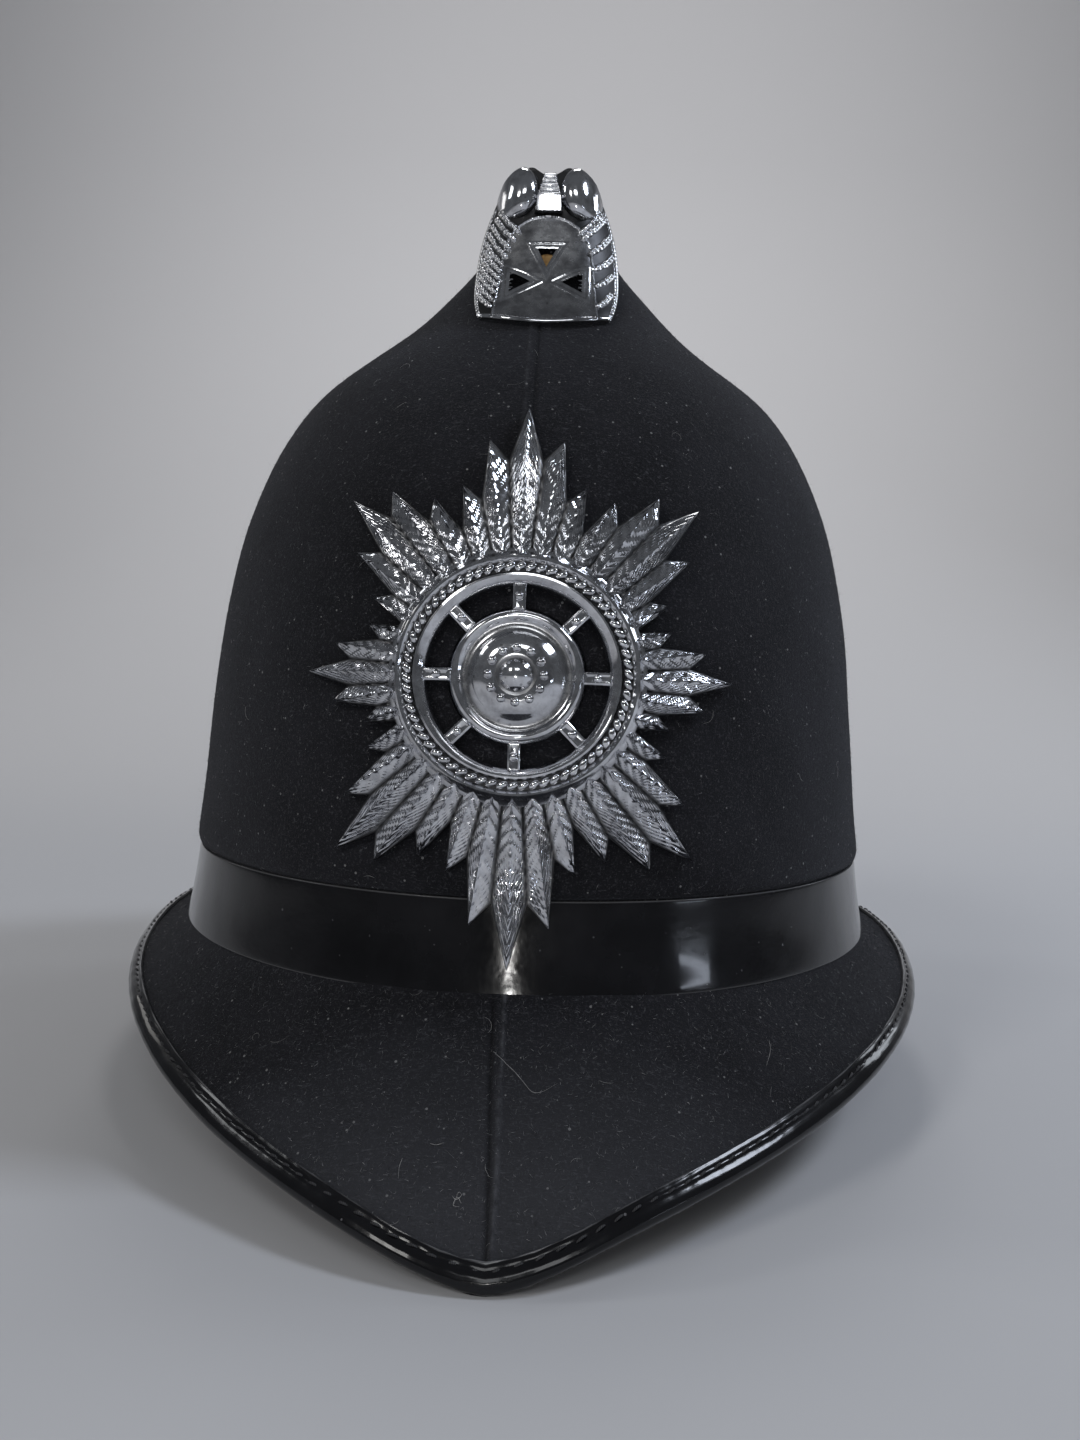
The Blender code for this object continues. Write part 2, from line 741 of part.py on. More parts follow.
def make_mount_shell(mesh):
    rows = [row[0] * MOUNT_TALL for row in MOUNT_SHARES]
    columns = (-1.0, -0.92, -0.76, -0.53, -0.27, 0.0, 0.27, 0.53, 0.76, 0.92, 1.0)
    outer = []
    inner = []
    for rise in rows:
        half = mount_half_width(rise / MOUNT_TALL)
        outer.append(new_ring(mesh, [mount_place(share, rise, 0) for share in columns]))
        top = min(rise, rows[-1] - MOUNT_THICKNESS)
        points = []
        for share in columns:
            point = mount_place(share, top, -MOUNT_THICKNESS * (1 - share**2))
            point.x = mount_lean() + share * (half - MOUNT_THICKNESS)
            points.append(point)
        inner.append(new_ring(mesh, points))
    skin_rings(mesh, outer, closed=False)
    skin_rings(mesh, inner, closed=False)
    skin_rings(mesh, [outer[0], inner[0]], closed=False)
    for side in (0, -1):
        skin_rings(mesh, [[row[side] for row in outer], [row[side] for row in inner]], closed=False)
    mesh.faces.new(outer[-1])
    mesh.faces.new(inner[-1])
    mesh.faces.new((outer[-1][0], outer[-1][-1], inner[-1][-1], inner[-1][0]))


def bar_mesh(mesh, places, radius):
    # A raised bar along places on the mount's face, four-sided and half sunk in it
    points = [mount_point(across, rise, 0) for across, rise in places]
    rings = []
    for i, point in enumerate(points):
        run = points[min(i + 1, len(points) - 1)] - points[max(i - 1, 0)]
        side = run.cross(Vector((0, -1, 0))).normalized() * radius
        out = side.cross(run).normalized() * radius
        if out.y > 0:
            out = -out
        rings.append(new_ring(mesh, [point + side, point + out * 1.3, point - side, point - out]))
    skin_rings(mesh, rings)
    mesh.faces.new(rings[0])
    mesh.faces.new(rings[-1])


def lobe_mesh(mesh, across, rise, radius):
    lobe = bmesh.new()
    bmesh.ops.create_icosphere(lobe, subdivisions=2, radius=radius)
    bmesh.ops.scale(lobe, vec=(1, LOBE_DEPTH / radius, 1), verts=lobe.verts)
    centre = mount_point(across, rise, LOBE_DEPTH * 0.35)
    copies = {vert: mesh.verts.new(vert.co + centre) for vert in lobe.verts}
    for face in lobe.faces:
        mesh.faces.new([copies[vert] for vert in face.verts])
    lobe.free()


def rib_places(k, count):
    # A slanting rib from the mount's outer edge down to the window
    share = k / (count - 1)
    high = MOUNT_TALL * (0.79 - 0.58 * share)
    low = MOUNT_TALL * (0.60 - 0.50 * share)
    outer = mount_half_width(high / MOUNT_TALL) - 2.2 * BAR_RADIUS
    inner = max(window_half(low), WINDOW_WIDTH * 0.32) + 2.2 * BAR_RADIUS
    return [(outer, high), ((outer + inner) / 2, (high + low) / 2), (inner, low)]


def cross_bars():
    # Outlines of the upper, left and right arms of the splayed cross
    rise = cross_rise()
    half_end = CROSS_END / 2
    bars = []
    for across, up in ((0, 1), (-1, 0), (1, 0)):
        corners = []
        for side in (-1, 1):
            corner = (across * CROSS_ARM + up * side * half_end,
                      rise + up * CROSS_ARM + across * side * half_end)
            corners.append(corner)
            bars.append([(corner[0] * 0.08, rise + (corner[1] - rise) * 0.08), corner])
        bars.append(corners)
    return bars


def make_mount_relief(mesh):
    for across in (-1, 1):
        lobe_mesh(mesh, across * LOBE_SPREAD / 2, MOUNT_TALL - LOBE_RADIUS, LOBE_RADIUS)
    ribs = 6
    for k in range(ribs):
        for across in (-1, 1):
            bar_mesh(mesh, [(across * x, z) for x, z in rib_places(k, ribs)], BAR_RADIUS * 1.3)
    for bar in cross_bars():
        bar_mesh(mesh, bar, BAR_RADIUS)
    flutes = 3
    for k in range(flutes):
        rise = MOUNT_TALL * (0.765 + 0.052 * k)
        half = MOUNT_WIDTH * (0.086 - 0.009 * k)
        bar_mesh(mesh, [(-half, rise), (half, rise)], BAR_RADIUS)
    radius = WINDOW_WIDTH / 2
    spring = cross_rise() + 0.55 * radius
    turns = [math.radians(angle) for angle in (-80, -48, -16, 16, 48, 80)]
    arch = [(radius * math.sin(turn), spring + radius * math.cos(turn)) for turn in turns]
    bar_mesh(mesh, arch, BAR_RADIUS)
    foot = mount_half_width(0) - BAR_RADIUS
    bar_mesh(mesh, [(foot * share, BAR_RADIUS) for share in (-1, -0.6, 0, 0.6, 1)], BAR_RADIUS * 1.2)


def make_mount_holes(mesh):
    # One three-sided hole through each outlined arm
    rise = cross_rise()
    near = 0.34 * CROSS_ARM
    far = CROSS_ARM - 3.0 * BAR_RADIUS
    half = CROSS_END / 2 * 0.50
    deep = MOUNT_WRAP + MOUNT_STANDOFF
    for across, up in ((0, 1), (-1, 0), (1, 0)):
        corners = [(across * near, rise + up * near)]
        for side in (-1, 1):
            corners.append((across * far + up * side * half, rise + up * far + across * side * half))
        front = []
        back = []
        for x, z in corners:
            face = mount_point(x, z, 0)
            front.append(mesh.verts.new(face - Vector((0, MOUNT_STANDOFF, 0))))
            back.append(mesh.verts.new(face + Vector((0, MOUNT_THICKNESS + deep / 4, 0))))
        skin_rings(mesh, [front, back])
        mesh.faces.new(front)
        mesh.faces.new(back)


def make_mount(chrome):
    shell = bmesh.new()
    make_mount_shell(shell)
    mount = finish_object(shell, "top_mount", chrome, 30)
    relief = bmesh.new()
    make_mount_relief(relief)
    add_boolean(mount, finish_object(relief, "mount_relief", None, 30), "UNION", crossing=True)
    holes = bmesh.new()
    make_mount_holes(holes)
    add_boolean(mount, finish_object(holes, "mount_holes", None, 30), "DIFFERENCE")
    return mount


def stud_line():
    # From the stud's head, just behind the upper hole, into the hollow comb
    height = MOUNT_FOOT + cross_rise() + 0.55 * CROSS_ARM
    across = mount_lean()
    face = crown_front(across, height)
    return Vector((across, face, height)), Vector((across, face + CROWN_WALL + SHANK_INSIDE, height))


def make_stud(brass):
    start, end = stud_line()
    mesh = bmesh.new()
    sides = 12
    head_back = crown_front(start.x, start.z - STUD_HEAD_RADIUS) - CLEARANCE
    head_front = head_back - STUD_HEAD_THICKNESS
    profile = [
        (head_front, 0.55 * STUD_HEAD_RADIUS),
        (head_front + 0.35 * STUD_HEAD_THICKNESS, STUD_HEAD_RADIUS),
        (head_back, STUD_HEAD_RADIUS),
        (head_back, STUD_RADIUS),
        (end.y, STUD_RADIUS),
    ]
    turns = [2 * math.pi * i / sides for i in range(sides)]
    rings = []
    for along, radius in profile:
        spokes = [Vector((radius * math.cos(turn), 0, radius * math.sin(turn))) for turn in turns]
        centre = Vector((start.x, along, start.z))
        rings.append(new_ring(mesh, [centre + spoke for spoke in spokes]))
    skin_rings(mesh, rings)
    mesh.faces.new(rings[0])
    mesh.faces.new(rings[-1])
    return finish_object(mesh, "mount_stud", brass, 40)


def stand_on_floor(pieces):
    # Hang every piece on one empty, which brings the origin under the middle of the box
    bpy.context.view_layer.update()
    corners = [vert.co for piece in pieces for vert in piece.data.vertices]
    low = [min(corner[axis] for corner in corners) for axis in range(3)]
    high = [max(corner[axis] for corner in corners) for axis in range(3)]
    helmet = bpy.data.objects.new("helmet", None)
    bpy.context.scene.collection.objects.link(helmet)
    helmet.location = (-(low[0] + high[0]) / 2, -(low[1] + high[1]) / 2, -low[2])
    for item in bpy.context.scene.objects:
        if item is not helmet:
            item.parent = helmet


def build_helmet():
    clear_scene()
    felt = plain_material("black_felt", (0.012, 0.012, 0.013), 0.95, 0.0)
    patent = plain_material("black_patent", (0.010, 0.010, 0.011), 0.12, 0.0)
    chrome = plain_material("chrome", (0.78, 0.78, 0.80), 0.12, 1.0)
    brass = plain_material("brown_brass", (0.42, 0.27, 0.12), 0.38, 1.0)
    pieces = [
        make_crown(felt),
        make_brim(felt),
        make_band(patent),
        make_binding(patent),
        make_badge(chrome),
        make_mount(chrome),
        make_stud(brass),
    ]
    stand_on_floor(pieces)


build_helmet()
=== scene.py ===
import json
import math
from contextlib import contextmanager
from functools import reduce

import bpy
import numpy as np
from mathutils import Matrix, Vector, noise
from mathutils.bvhtree import BVHTree

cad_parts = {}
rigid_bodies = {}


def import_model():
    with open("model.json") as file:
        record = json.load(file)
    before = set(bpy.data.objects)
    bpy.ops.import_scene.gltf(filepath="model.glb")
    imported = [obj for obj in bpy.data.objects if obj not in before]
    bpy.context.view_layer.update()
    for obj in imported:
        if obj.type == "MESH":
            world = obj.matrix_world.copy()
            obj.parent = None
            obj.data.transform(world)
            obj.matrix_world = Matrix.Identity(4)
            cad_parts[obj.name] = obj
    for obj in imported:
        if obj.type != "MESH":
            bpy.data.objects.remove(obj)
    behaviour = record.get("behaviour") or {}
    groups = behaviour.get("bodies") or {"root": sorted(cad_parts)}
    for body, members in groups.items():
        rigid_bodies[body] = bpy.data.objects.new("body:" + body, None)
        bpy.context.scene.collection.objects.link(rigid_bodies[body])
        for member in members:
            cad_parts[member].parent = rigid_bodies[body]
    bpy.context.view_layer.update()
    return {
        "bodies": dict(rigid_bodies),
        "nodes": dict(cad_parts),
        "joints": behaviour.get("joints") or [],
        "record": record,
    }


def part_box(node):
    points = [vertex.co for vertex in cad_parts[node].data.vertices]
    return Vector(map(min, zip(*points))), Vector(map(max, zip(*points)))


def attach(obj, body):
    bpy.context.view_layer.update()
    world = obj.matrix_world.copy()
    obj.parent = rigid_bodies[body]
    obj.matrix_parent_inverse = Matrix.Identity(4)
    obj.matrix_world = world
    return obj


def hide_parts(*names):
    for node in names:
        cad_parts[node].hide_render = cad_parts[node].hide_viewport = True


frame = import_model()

nodes = frame["nodes"]
scene = bpy.context.scene
mm = 0.001
axisY = 0.00466  # the head opening's upright axis
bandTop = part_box("band")[1].z


# small tools that the pieces share

def pick(piece):
    bpy.ops.object.select_all(action="DESELECT")
    piece.select_set(True)
    bpy.context.view_layer.objects.active = piece


def linkPiece(name, data):
    piece = bpy.data.objects.new(name, data)
    scene.collection.objects.link(piece)
    return piece


def meshPiece(name, points, faces, edges=()):
    mesh = bpy.data.meshes.new(name)
    mesh.from_pydata(points, edges, faces)
    return linkPiece(name, mesh)


def namePiece(name):
    piece = bpy.context.active_object
    piece.name = name
    piece.data.name = name
    return piece


def addPiece(name, primitive, **values):
    # a new piece from one of the mesh primitives
    bpy.ops.object.select_all(action="DESELECT")
    primitive(**values)
    return namePiece(name)


def selectMesh(action="SELECT"):
    bpy.ops.mesh.select_all(action=action)


@contextmanager
def editing(piece, mode=None):
    # edit mode on one piece, in a new select mode or in the last one
    pick(piece)
    bpy.ops.object.mode_set(mode="EDIT")
    if mode:
        bpy.ops.mesh.select_mode(type=mode)
    yield
    bpy.ops.object.mode_set(mode="OBJECT")


def setValues(target, **values):
    for name, value in values.items():
        setattr(target, name, value)


def modify(piece, kind, **values):
    # puts a modifier on a piece and applies it
    pick(piece)
    modifier = piece.modifiers.new(kind.title(), kind)
    setValues(modifier, **values)
    bpy.ops.object.modifier_apply(modifier=modifier.name)


def applyPlace(piece, stretch=None):
    # sets a new piece's place and turn into its mesh, stretched first where told
    pick(piece)
    if stretch:
        bpy.ops.transform.resize(value=stretch)
    bpy.ops.object.transform_apply(location=True, rotation=True, scale=True)


def smoothPiece(piece, degrees=None):
    pick(piece)
    if degrees is None:
        bpy.ops.object.shade_smooth()
    else:
        bpy.ops.object.shade_smooth_by_angle(angle=math.radians(degrees))


def dress(piece, material, nodeName=None):
    piece.data.materials.clear()
    piece.data.materials.append(material)
    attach(piece, "root")
    if nodeName:
        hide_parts(nodeName)
    return piece


def joinPieces(pieces, name):
    pick(pieces[0])
    for piece in pieces:
        piece.select_set(True)
    bpy.ops.object.join()
    return namePiece(name)


def readValues(source, name):
    # a value of three parts for each vertex or face, in rows
    values = np.empty(len(source) * 3, np.float32)
    source.foreach_get(name, values)
    return values.reshape(-1, 3).astype(float)


def meshCoords(piece):
    return readValues(piece.data.vertices, "co")


def setCoords(piece, coords):
    piece.data.vertices.foreach_set("co", coords.astype(np.float32).ravel())
    piece.data.update()


def vertexNormals(piece):
    return readValues(piece.data.vertices, "normal")


def pushOut(piece, amount):
    # moves the points along their normals by amount(points, normals)
    coords, normals = meshCoords(piece), vertexNormals(piece)
    setCoords(piece, coords + normals * amount(coords, normals)[:, None])


def mark(piece, name, values):
    # an attribute of one or three parts that the materials read
    kind, key = ("FLOAT_VECTOR", "vector") if values.ndim > 1 else ("FLOAT", "value")
    marks = piece.data.attributes.new(name, kind, "POINT")
    marks.data.foreach_set(key, values.astype(np.float32).ravel())


def editFaces(piece, chosen, action):
    # an edit of the faces that chosen(centres, normals) picks
    with editing(piece, "FACE"):
        selectMesh("DESELECT")
    faces = piece.data.polygons
    faces.foreach_set("select", chosen(readValues(faces, "center"), readValues(faces, "normal")))
    with editing(piece):
        action()


def refine(piece, chosen, cuts):
    editFaces(piece, chosen, lambda: bpy.ops.mesh.subdivide(number_cuts=cuts))


def copyNode(nodeName, pieceName):
    # a welded copy of a frame node, its triangles paired back into four-sided faces
    piece = linkPiece(pieceName, nodes[nodeName].data.copy())
    pick(piece)
    bpy.ops.mesh.customdata_custom_splitnormals_clear()
    with editing(piece):
        selectMesh()
        bpy.ops.mesh.remove_doubles(threshold=0.03 * mm)
        bpy.ops.mesh.tris_convert_to_quads(face_threshold=math.radians(40), shape_threshold=math.radians(60))
    return piece


def treeOf(piece):
    return BVHTree.FromPolygons([v.co[:] for v in piece.data.vertices], [f.vertices[:] for f in piece.data.polygons])


def noiseAt(coords, scale):
    return np.array([noise.noise(Vector(c) * scale) for c in coords])


def smoothStep(value):
    value = np.clip(value, 0, 1)
    return value * value * (3 - 2 * value)


def roundTop(away, half):
    # a half-round section: one in the middle, nought from half outward
    return np.sqrt(np.clip(1 - (away / half) ** 2, 0, 1))


def bell(away, width):
    return np.exp(-(away / width) ** 2)


def highest(*values):
    return reduce(np.maximum, values)


def columnsOf(*values):
    return np.stack(values, axis=1)


def unit(vectors):
    return vectors / np.maximum(np.linalg.norm(vectors, axis=-1, keepdims=True), 1e-12)


def gridSheet(name, columns, rows, place):
    # a grid whose points are laid by place(share across, share up)
    piece = addPiece(name, bpy.ops.mesh.primitive_grid_add, x_subdivisions=columns, y_subdivisions=rows, size=1)
    coords = meshCoords(piece)
    setCoords(piece, place(coords[:, 0] + 0.5, coords[:, 1] + 0.5))
    return piece


def spunPiece(name, profile, steps):
    # a closed profile of (radius, height) points in millimetres, spun about the upright axis
    points = [(radius * mm, 0, height * mm) for radius, height in profile]
    piece = meshPiece(name, points, [], [(k, (k + 1) % len(points)) for k in range(len(points))])
    with editing(piece):
        selectMesh()
        bpy.ops.mesh.spin(steps=steps, angle=2 * math.pi, center=(0, 0, 0), axis=(0, 0, 1))
        selectMesh()
        bpy.ops.mesh.remove_doubles(threshold=0.002 * mm)
        selectMesh()
        bpy.ops.mesh.normals_make_consistent(inside=False)
        bpy.ops.mesh.delete_loose(use_verts=False, use_edges=True, use_faces=False)
    return piece


def repeatPiece(name, source, origins, sides, fronts, ups):
    # copies of a modelled source at each place, turned to its three directions
    base = meshCoords(source)
    faces = [list(face.vertices) for face in source.data.polygons]
    places = (origins[:, None, :] + base[None, :, 0:1] * sides[:, None, :]
              + base[None, :, 1:2] * fronts[:, None, :] + base[None, :, 2:3] * ups[:, None, :])
    allFaces = [[vertex + k * len(base) for vertex in face] for k in range(len(origins)) for face in faces]
    bpy.data.objects.remove(source, do_unlink=True)
    return meshPiece(name, places.reshape(-1, 3).tolist(), allFaces)


def tubePiece(name, strands, sides=4):
    # thin closed tubes along the points of each strand: (points, radius)
    points, faces = [], []
    for line, radius in strands:
        line = np.asarray(line, float)
        run = unit(np.gradient(line, axis=0))
        side = unit(np.cross(run, np.array([0.31, 0.52, 0.79])))
        other = np.cross(run, side)
        taper = radius * np.interp(np.linspace(0, 1, len(line)), [0, 0.15, 0.7, 1], [0.5, 1, 0.9, 0.25])
        start, last = len(points), len(points) + (len(line) - 1) * sides
        for k in range(len(line)):
            for j in range(sides):
                turn = 2 * math.pi * j / sides
                points.append(line[k] + taper[k] * (side[k] * math.cos(turn) + other[k] * math.sin(turn)))
        for low in range(start, last, sides):
            for j in range(sides):
                after = (j + 1) % sides
                faces.append((low + j, low + after, low + sides + after, low + sides + j))
        faces.append(tuple(start + j for j in reversed(range(sides))))
        faces.append(tuple(last + j for j in range(sides)))
    return meshPiece(name, [tuple(point) for point in points], faces)


# materials: node tools and shared effects first, then one material for each finish

def feed(tree, socket, value):
    # joins an output to a socket, or sets the socket's own value
    if isinstance(value, bpy.types.NodeSocket):
        tree.links.new(value, socket)
    elif socket.type == "RGBA":
        socket.default_value = (*value, 1)
    else:
        socket.default_value = value


def feedNode(tree, node, values):
    # values are the node's own settings or its inputs, by name
    for name, value in values.items():
        if hasattr(node, name):
            setattr(node, name, value)
        else:
            feed(tree, node.inputs[name.replace("_", " ")], value)
    return node


def addNode(tree, kind, **values):
    return feedNode(tree, tree.nodes.new("ShaderNode" + kind), values)


def feedShader(tree, **values):
    feedNode(tree, tree.nodes["Principled BSDF"], values)


def newMaterial(name, **values):
    material = bpy.data.materials.new(name)
    material.use_nodes = True
    feedShader(material.node_tree, **values)
    return material, material.node_tree


def objectPlace(tree):
    return addNode(tree, "TexCoord").outputs["Object"]


def attribute(tree, name, output="Fac"):
    return addNode(tree, "Attribute", attribute_name=name).outputs[output]


def noiseNode(tree, place, **values):
    return addNode(tree, "TexNoise", Vector=place, **values).outputs[0]


def ramp(tree, source, *stops):
    node = addNode(tree, "ValToRGB")
    elements = node.color_ramp.elements
    while len(elements) < len(stops):
        elements.new(0.5)
    for element, (place, value) in zip(elements, stops):
        element.position = place
        element.color = (*value, 1) if isinstance(value, tuple) else (value, value, value, 1)
    feed(tree, node.inputs[0], source)
    return node.outputs[0]


def mixColour(tree, amount, first, second):
    node = addNode(tree, "Mix", data_type="RGBA")
    for index, value in ((0, amount), (6, first), (7, second)):
        feed(tree, node.inputs[index], value)
    return node.outputs[2]


def maths(tree, operation, first, second):
    node = addNode(tree, "Math", operation=operation)
    feed(tree, node.inputs[0], first)
    feed(tree, node.inputs[1], second)
    return node.outputs[0]


def times(tree, first, second):
    return maths(tree, "MULTIPLY", first, second)


def bump(tree, height, strength, distance, **values):
    return addNode(tree, "Bump", Height=height, Strength=strength, Distance=distance, **values).outputs["Normal"]


def shaded(colour, amount):
    return tuple(amount * channel for channel in colour)


def newGroup(name, outputs, **inputs):
    # a node group that takes a vector and the named numbers, and gives the named outputs
    tree = bpy.data.node_groups.new(name, "ShaderNodeTree")
    tree.interface.new_socket("Vector", in_out="INPUT", socket_type="NodeSocketVector")
    for socketName, value in inputs.items():
        tree.interface.new_socket(socketName, in_out="INPUT", socket_type="NodeSocketFloat").default_value = value
    for socketName in outputs:
        tree.interface.new_socket(socketName, in_out="OUTPUT", socket_type="NodeSocketFloat")
    return tree, tree.nodes.new("NodeGroupInput").outputs, tree.nodes.new("NodeGroupOutput").inputs


def makeSpeckGroup():
    # small round specks, such as lint or dust: a mask of them
    tree, given, result = newGroup("specks", ["Mask"], Scale=600.0, Size=0.2, Share=0.3)
    cells = addNode(tree, "TexVoronoi", feature="F1", Vector=given["Vector"], Scale=given["Scale"]).outputs
    dice = addNode(tree, "SeparateColor", Color=cells["Color"]).outputs
    chosen = maths(tree, "LESS_THAN", dice[0], given["Share"])
    inside = maths(tree, "LESS_THAN", cells["Distance"], times(tree, given["Size"], dice[1]))
    feed(tree, result["Mask"], times(tree, chosen, inside))
    return tree


def makeFibreGroup():
    # matted fibres lying every way: a mask of fine streaks, and their height
    tree, given, result = newGroup("fibres", ["Mask", "Height"], Scale=500.0, Share=0.6)
    grains = []
    for turn, stretch in ((0.4, (1, 5, 2)), (1.5, (5, 1, 3)), (2.5, (2, 3, 6))):
        way = addNode(tree, "Mapping", Vector=given["Vector"], Scale=stretch, Rotation=(turn, turn * 0.7, turn * 1.3))
        grains.append(noiseNode(tree, way.outputs[0], Scale=given["Scale"], Detail=3.0, Roughness=0.65))
    total = reduce(lambda first, second: maths(tree, "MAXIMUM", first, second), grains)
    above = times(tree, maths(tree, "SUBTRACT", total, given["Share"]), 9.0)
    feed(tree, result["Mask"], addNode(tree, "Clamp", Value=above).outputs[0])
    feed(tree, result["Height"], total)
    return tree


specks = makeSpeckGroup()
fibres = makeFibreGroup()


def specked(tree, place, colour, tone, *rows):
    # specks of another tone over a colour; each row is their scale, size, share and strength
    for scale, size, share, strength in rows:
        mask = addNode(tree, "Group", node_tree=specks, Vector=place, Scale=scale, Size=size, Share=share).outputs[0]
        colour = mixColour(tree, times(tree, mask, strength), colour, tone)
    return colour


def feltMaterial():
    look = {"colour": (0.0108, 0.0108, 0.0130), "pale": (0.092, 0.094, 0.104), "lint": (0.42, 0.42, 0.42)}
    material, tree = newMaterial("charcoalFelt", Roughness=0.95, Sheen_Weight=0.12, Sheen_Roughness=0.5,
                                 Sheen_Tint=(0.75, 0.77, 0.85), Specular_IOR_Level=0.10)
    place = objectPlace(tree)
    cloud = noiseNode(tree, place, Scale=46.0, Detail=6.0, Roughness=0.66)
    colour = ramp(tree, cloud, (0.30, shaded(look["colour"], 0.70)), (0.70, shaded(look["colour"], 1.5)))
    heights = []
    for scale, share, strength in ((520.0, 0.60, 0.6), (1500.0, 0.62, 0.5)):
        nap = addNode(tree, "Group", node_tree=fibres, Vector=place, Scale=scale, Share=share).outputs
        colour = mixColour(tree, times(tree, nap["Mask"], strength), colour, look["pale"])
        heights.append(nap["Height"])
    colour = specked(tree, place, colour, look["lint"], (300.0, 0.10, 0.07, 0.6), (800.0, 0.24, 0.12, 0.5))
    # paler towards the peak: painted light, where the peak is lit more; painted shade in the seam's groove, and fluff
    # with a painted highlight on its ridge
    forward = times(tree, addNode(tree, "SeparateXYZ", Vector=place).outputs["Y"], -5.0)
    colour = mixColour(tree, ramp(tree, forward, (0.57, 0.0), (0.72, 0.38)), colour, look["pale"])
    seam = addNode(tree, "SeparateXYZ", Vector=attribute(tree, "seam", "Vector")).outputs
    colour = mixColour(tree, times(tree, seam["X"], 0.6), colour, shaded(look["colour"], 0.35))
    fluff = ramp(tree, noiseNode(tree, place, Scale=420.0, Detail=4.0, Roughness=0.7), (0.40, 0.0), (0.64, 0.8))
    colour = mixColour(tree, times(tree, seam["Y"], fluff), colour, look["pale"])
    coarse = bump(tree, heights[0], 0.7, 0.35 * mm)
    feedShader(tree, Base_Color=colour, Normal=bump(tree, heights[1], 0.7, 0.15 * mm, Normal=coarse))
    return material


def fibreMaterial():
    # single fibres: from near black to grey by the shade that each one carries
    material, tree = newMaterial("woolFibre", Roughness=0.75, Sheen_Weight=0.10, Sheen_Roughness=0.4,
                                 Specular_IOR_Level=0.25)
    stops = [(0.0, (0.016, 0.016, 0.019)), (0.75, (0.095, 0.097, 0.106)), (1.0, (0.46, 0.46, 0.47))]
    feedShader(tree, Base_Color=ramp(tree, attribute(tree, "shade"), *stops))
    return material


def lintMaterial():
    material, tree = newMaterial("paleLint", Roughness=0.7, Specular_IOR_Level=0.3)
    cloud = noiseNode(tree, objectPlace(tree), Scale=900.0, Detail=2.0)
    feedShader(tree, Base_Color=ramp(tree, cloud, (0.3, (0.26, 0.26, 0.265)), (0.7, (0.58, 0.57, 0.56))))
    return material


def patentMaterial():
    look = {"colour": (0.0060, 0.0060, 0.0070), "dust": (0.20, 0.20, 0.21), "edge": (0.13, 0.13, 0.135)}
    material, tree = newMaterial("blackPatent", Coat_Weight=0.45, Coat_Roughness=0.05, Coat_IOR=1.35,
                                 Specular_IOR_Level=0.22)
    place = objectPlace(tree)
    smear = noiseNode(tree, place, Scale=60.0, Detail=5.0, Roughness=0.6)
    colour = ramp(tree, smear, (0.35, look["colour"]), (0.8, shaded(look["colour"], 2.2)))
    colour = specked(tree, place, colour, look["dust"], (420.0, 0.12, 0.08, 0.7), (900.0, 0.2, 0.06, 0.4))
    # paler along the edges: a painted highlight, with the raw cut edge
    colour = mixColour(tree, attribute(tree, "edge"), colour, look["edge"])
    waves = bump(tree, noiseNode(tree, place, Scale=38.0, Detail=2.0, Roughness=0.4), 0.35, 1.6 * mm)
    grain = addNode(tree, "TexVoronoi", feature="SMOOTH_F1", Vector=place, Scale=900.0).outputs["Distance"]
    feedShader(tree, Base_Color=colour, Roughness=ramp(tree, smear, (0.3, 0.10), (0.75, 0.28)),
               Normal=bump(tree, grain, 0.06, 0.2 * mm, Normal=waves))
    return material


def chromeMaterial():
    # worn plating with a fine cast surface; the attribute paints shade above nought, dark and matt, and below nought
    # frosts it, rougher and paler as a painted highlight
    look = {"bright": (0.80, 0.81, 0.84), "dull": (0.46, 0.46, 0.48), "frostedHighlight": (0.93, 0.94, 0.97)}
    material, tree = newMaterial("wornChrome", Metallic=1.0)
    place = objectPlace(tree)
    patch = noiseNode(tree, place, Scale=260.0, Detail=6.0, Roughness=0.7)
    paintedShadeAndFrost = attribute(tree, "paintedShadeAndFrost")
    frostAndHighlight = ramp(tree, times(tree, paintedShadeAndFrost, -1.0), (0.0, 0.0), (1.0, 1.0))
    paintedShade = ramp(tree, paintedShadeAndFrost, (0.0, 0.0), (1.0, 0.98))
    matt = maths(tree, "ADD", times(tree, frostAndHighlight, 0.28), times(tree, paintedShade, 0.32))
    rough = maths(tree, "ADD", ramp(tree, patch, (0.34, 0.06), (0.70, 0.17)), matt)
    colour = ramp(tree, patch, (0.30, look["dull"]), (0.56, look["bright"]))
    colour = specked(tree, place, colour, shaded(look["dull"], 0.4), (900.0, 0.35, 0.10, 0.5))
    # painted shade: near black where the attribute is above nought
    colour = mixColour(tree, paintedShade, colour, shaded(look["dull"], 0.08))
    # frost: a paler colour as a painted highlight
    colour = mixColour(tree, frostAndHighlight, colour, look["frostedHighlight"])
    dents = noiseNode(tree, place, Scale=520.0, Detail=3.0, Roughness=0.55)
    feedShader(tree, Base_Color=colour, Roughness=rough, Normal=bump(tree, dents, 0.035, 0.4 * mm))
    return material


def brassMaterial():
    material, tree = newMaterial("agedBrass", Metallic=1.0)
    patch = noiseNode(tree, objectPlace(tree), Scale=700.0, Detail=4.0)
    feedShader(tree, Base_Color=ramp(tree, patch, (0.3, (0.16, 0.09, 0.035)), (0.7, (0.42, 0.27, 0.12))),
               Roughness=ramp(tree, patch, (0.3, 0.3), (0.7, 0.55)))
    return material


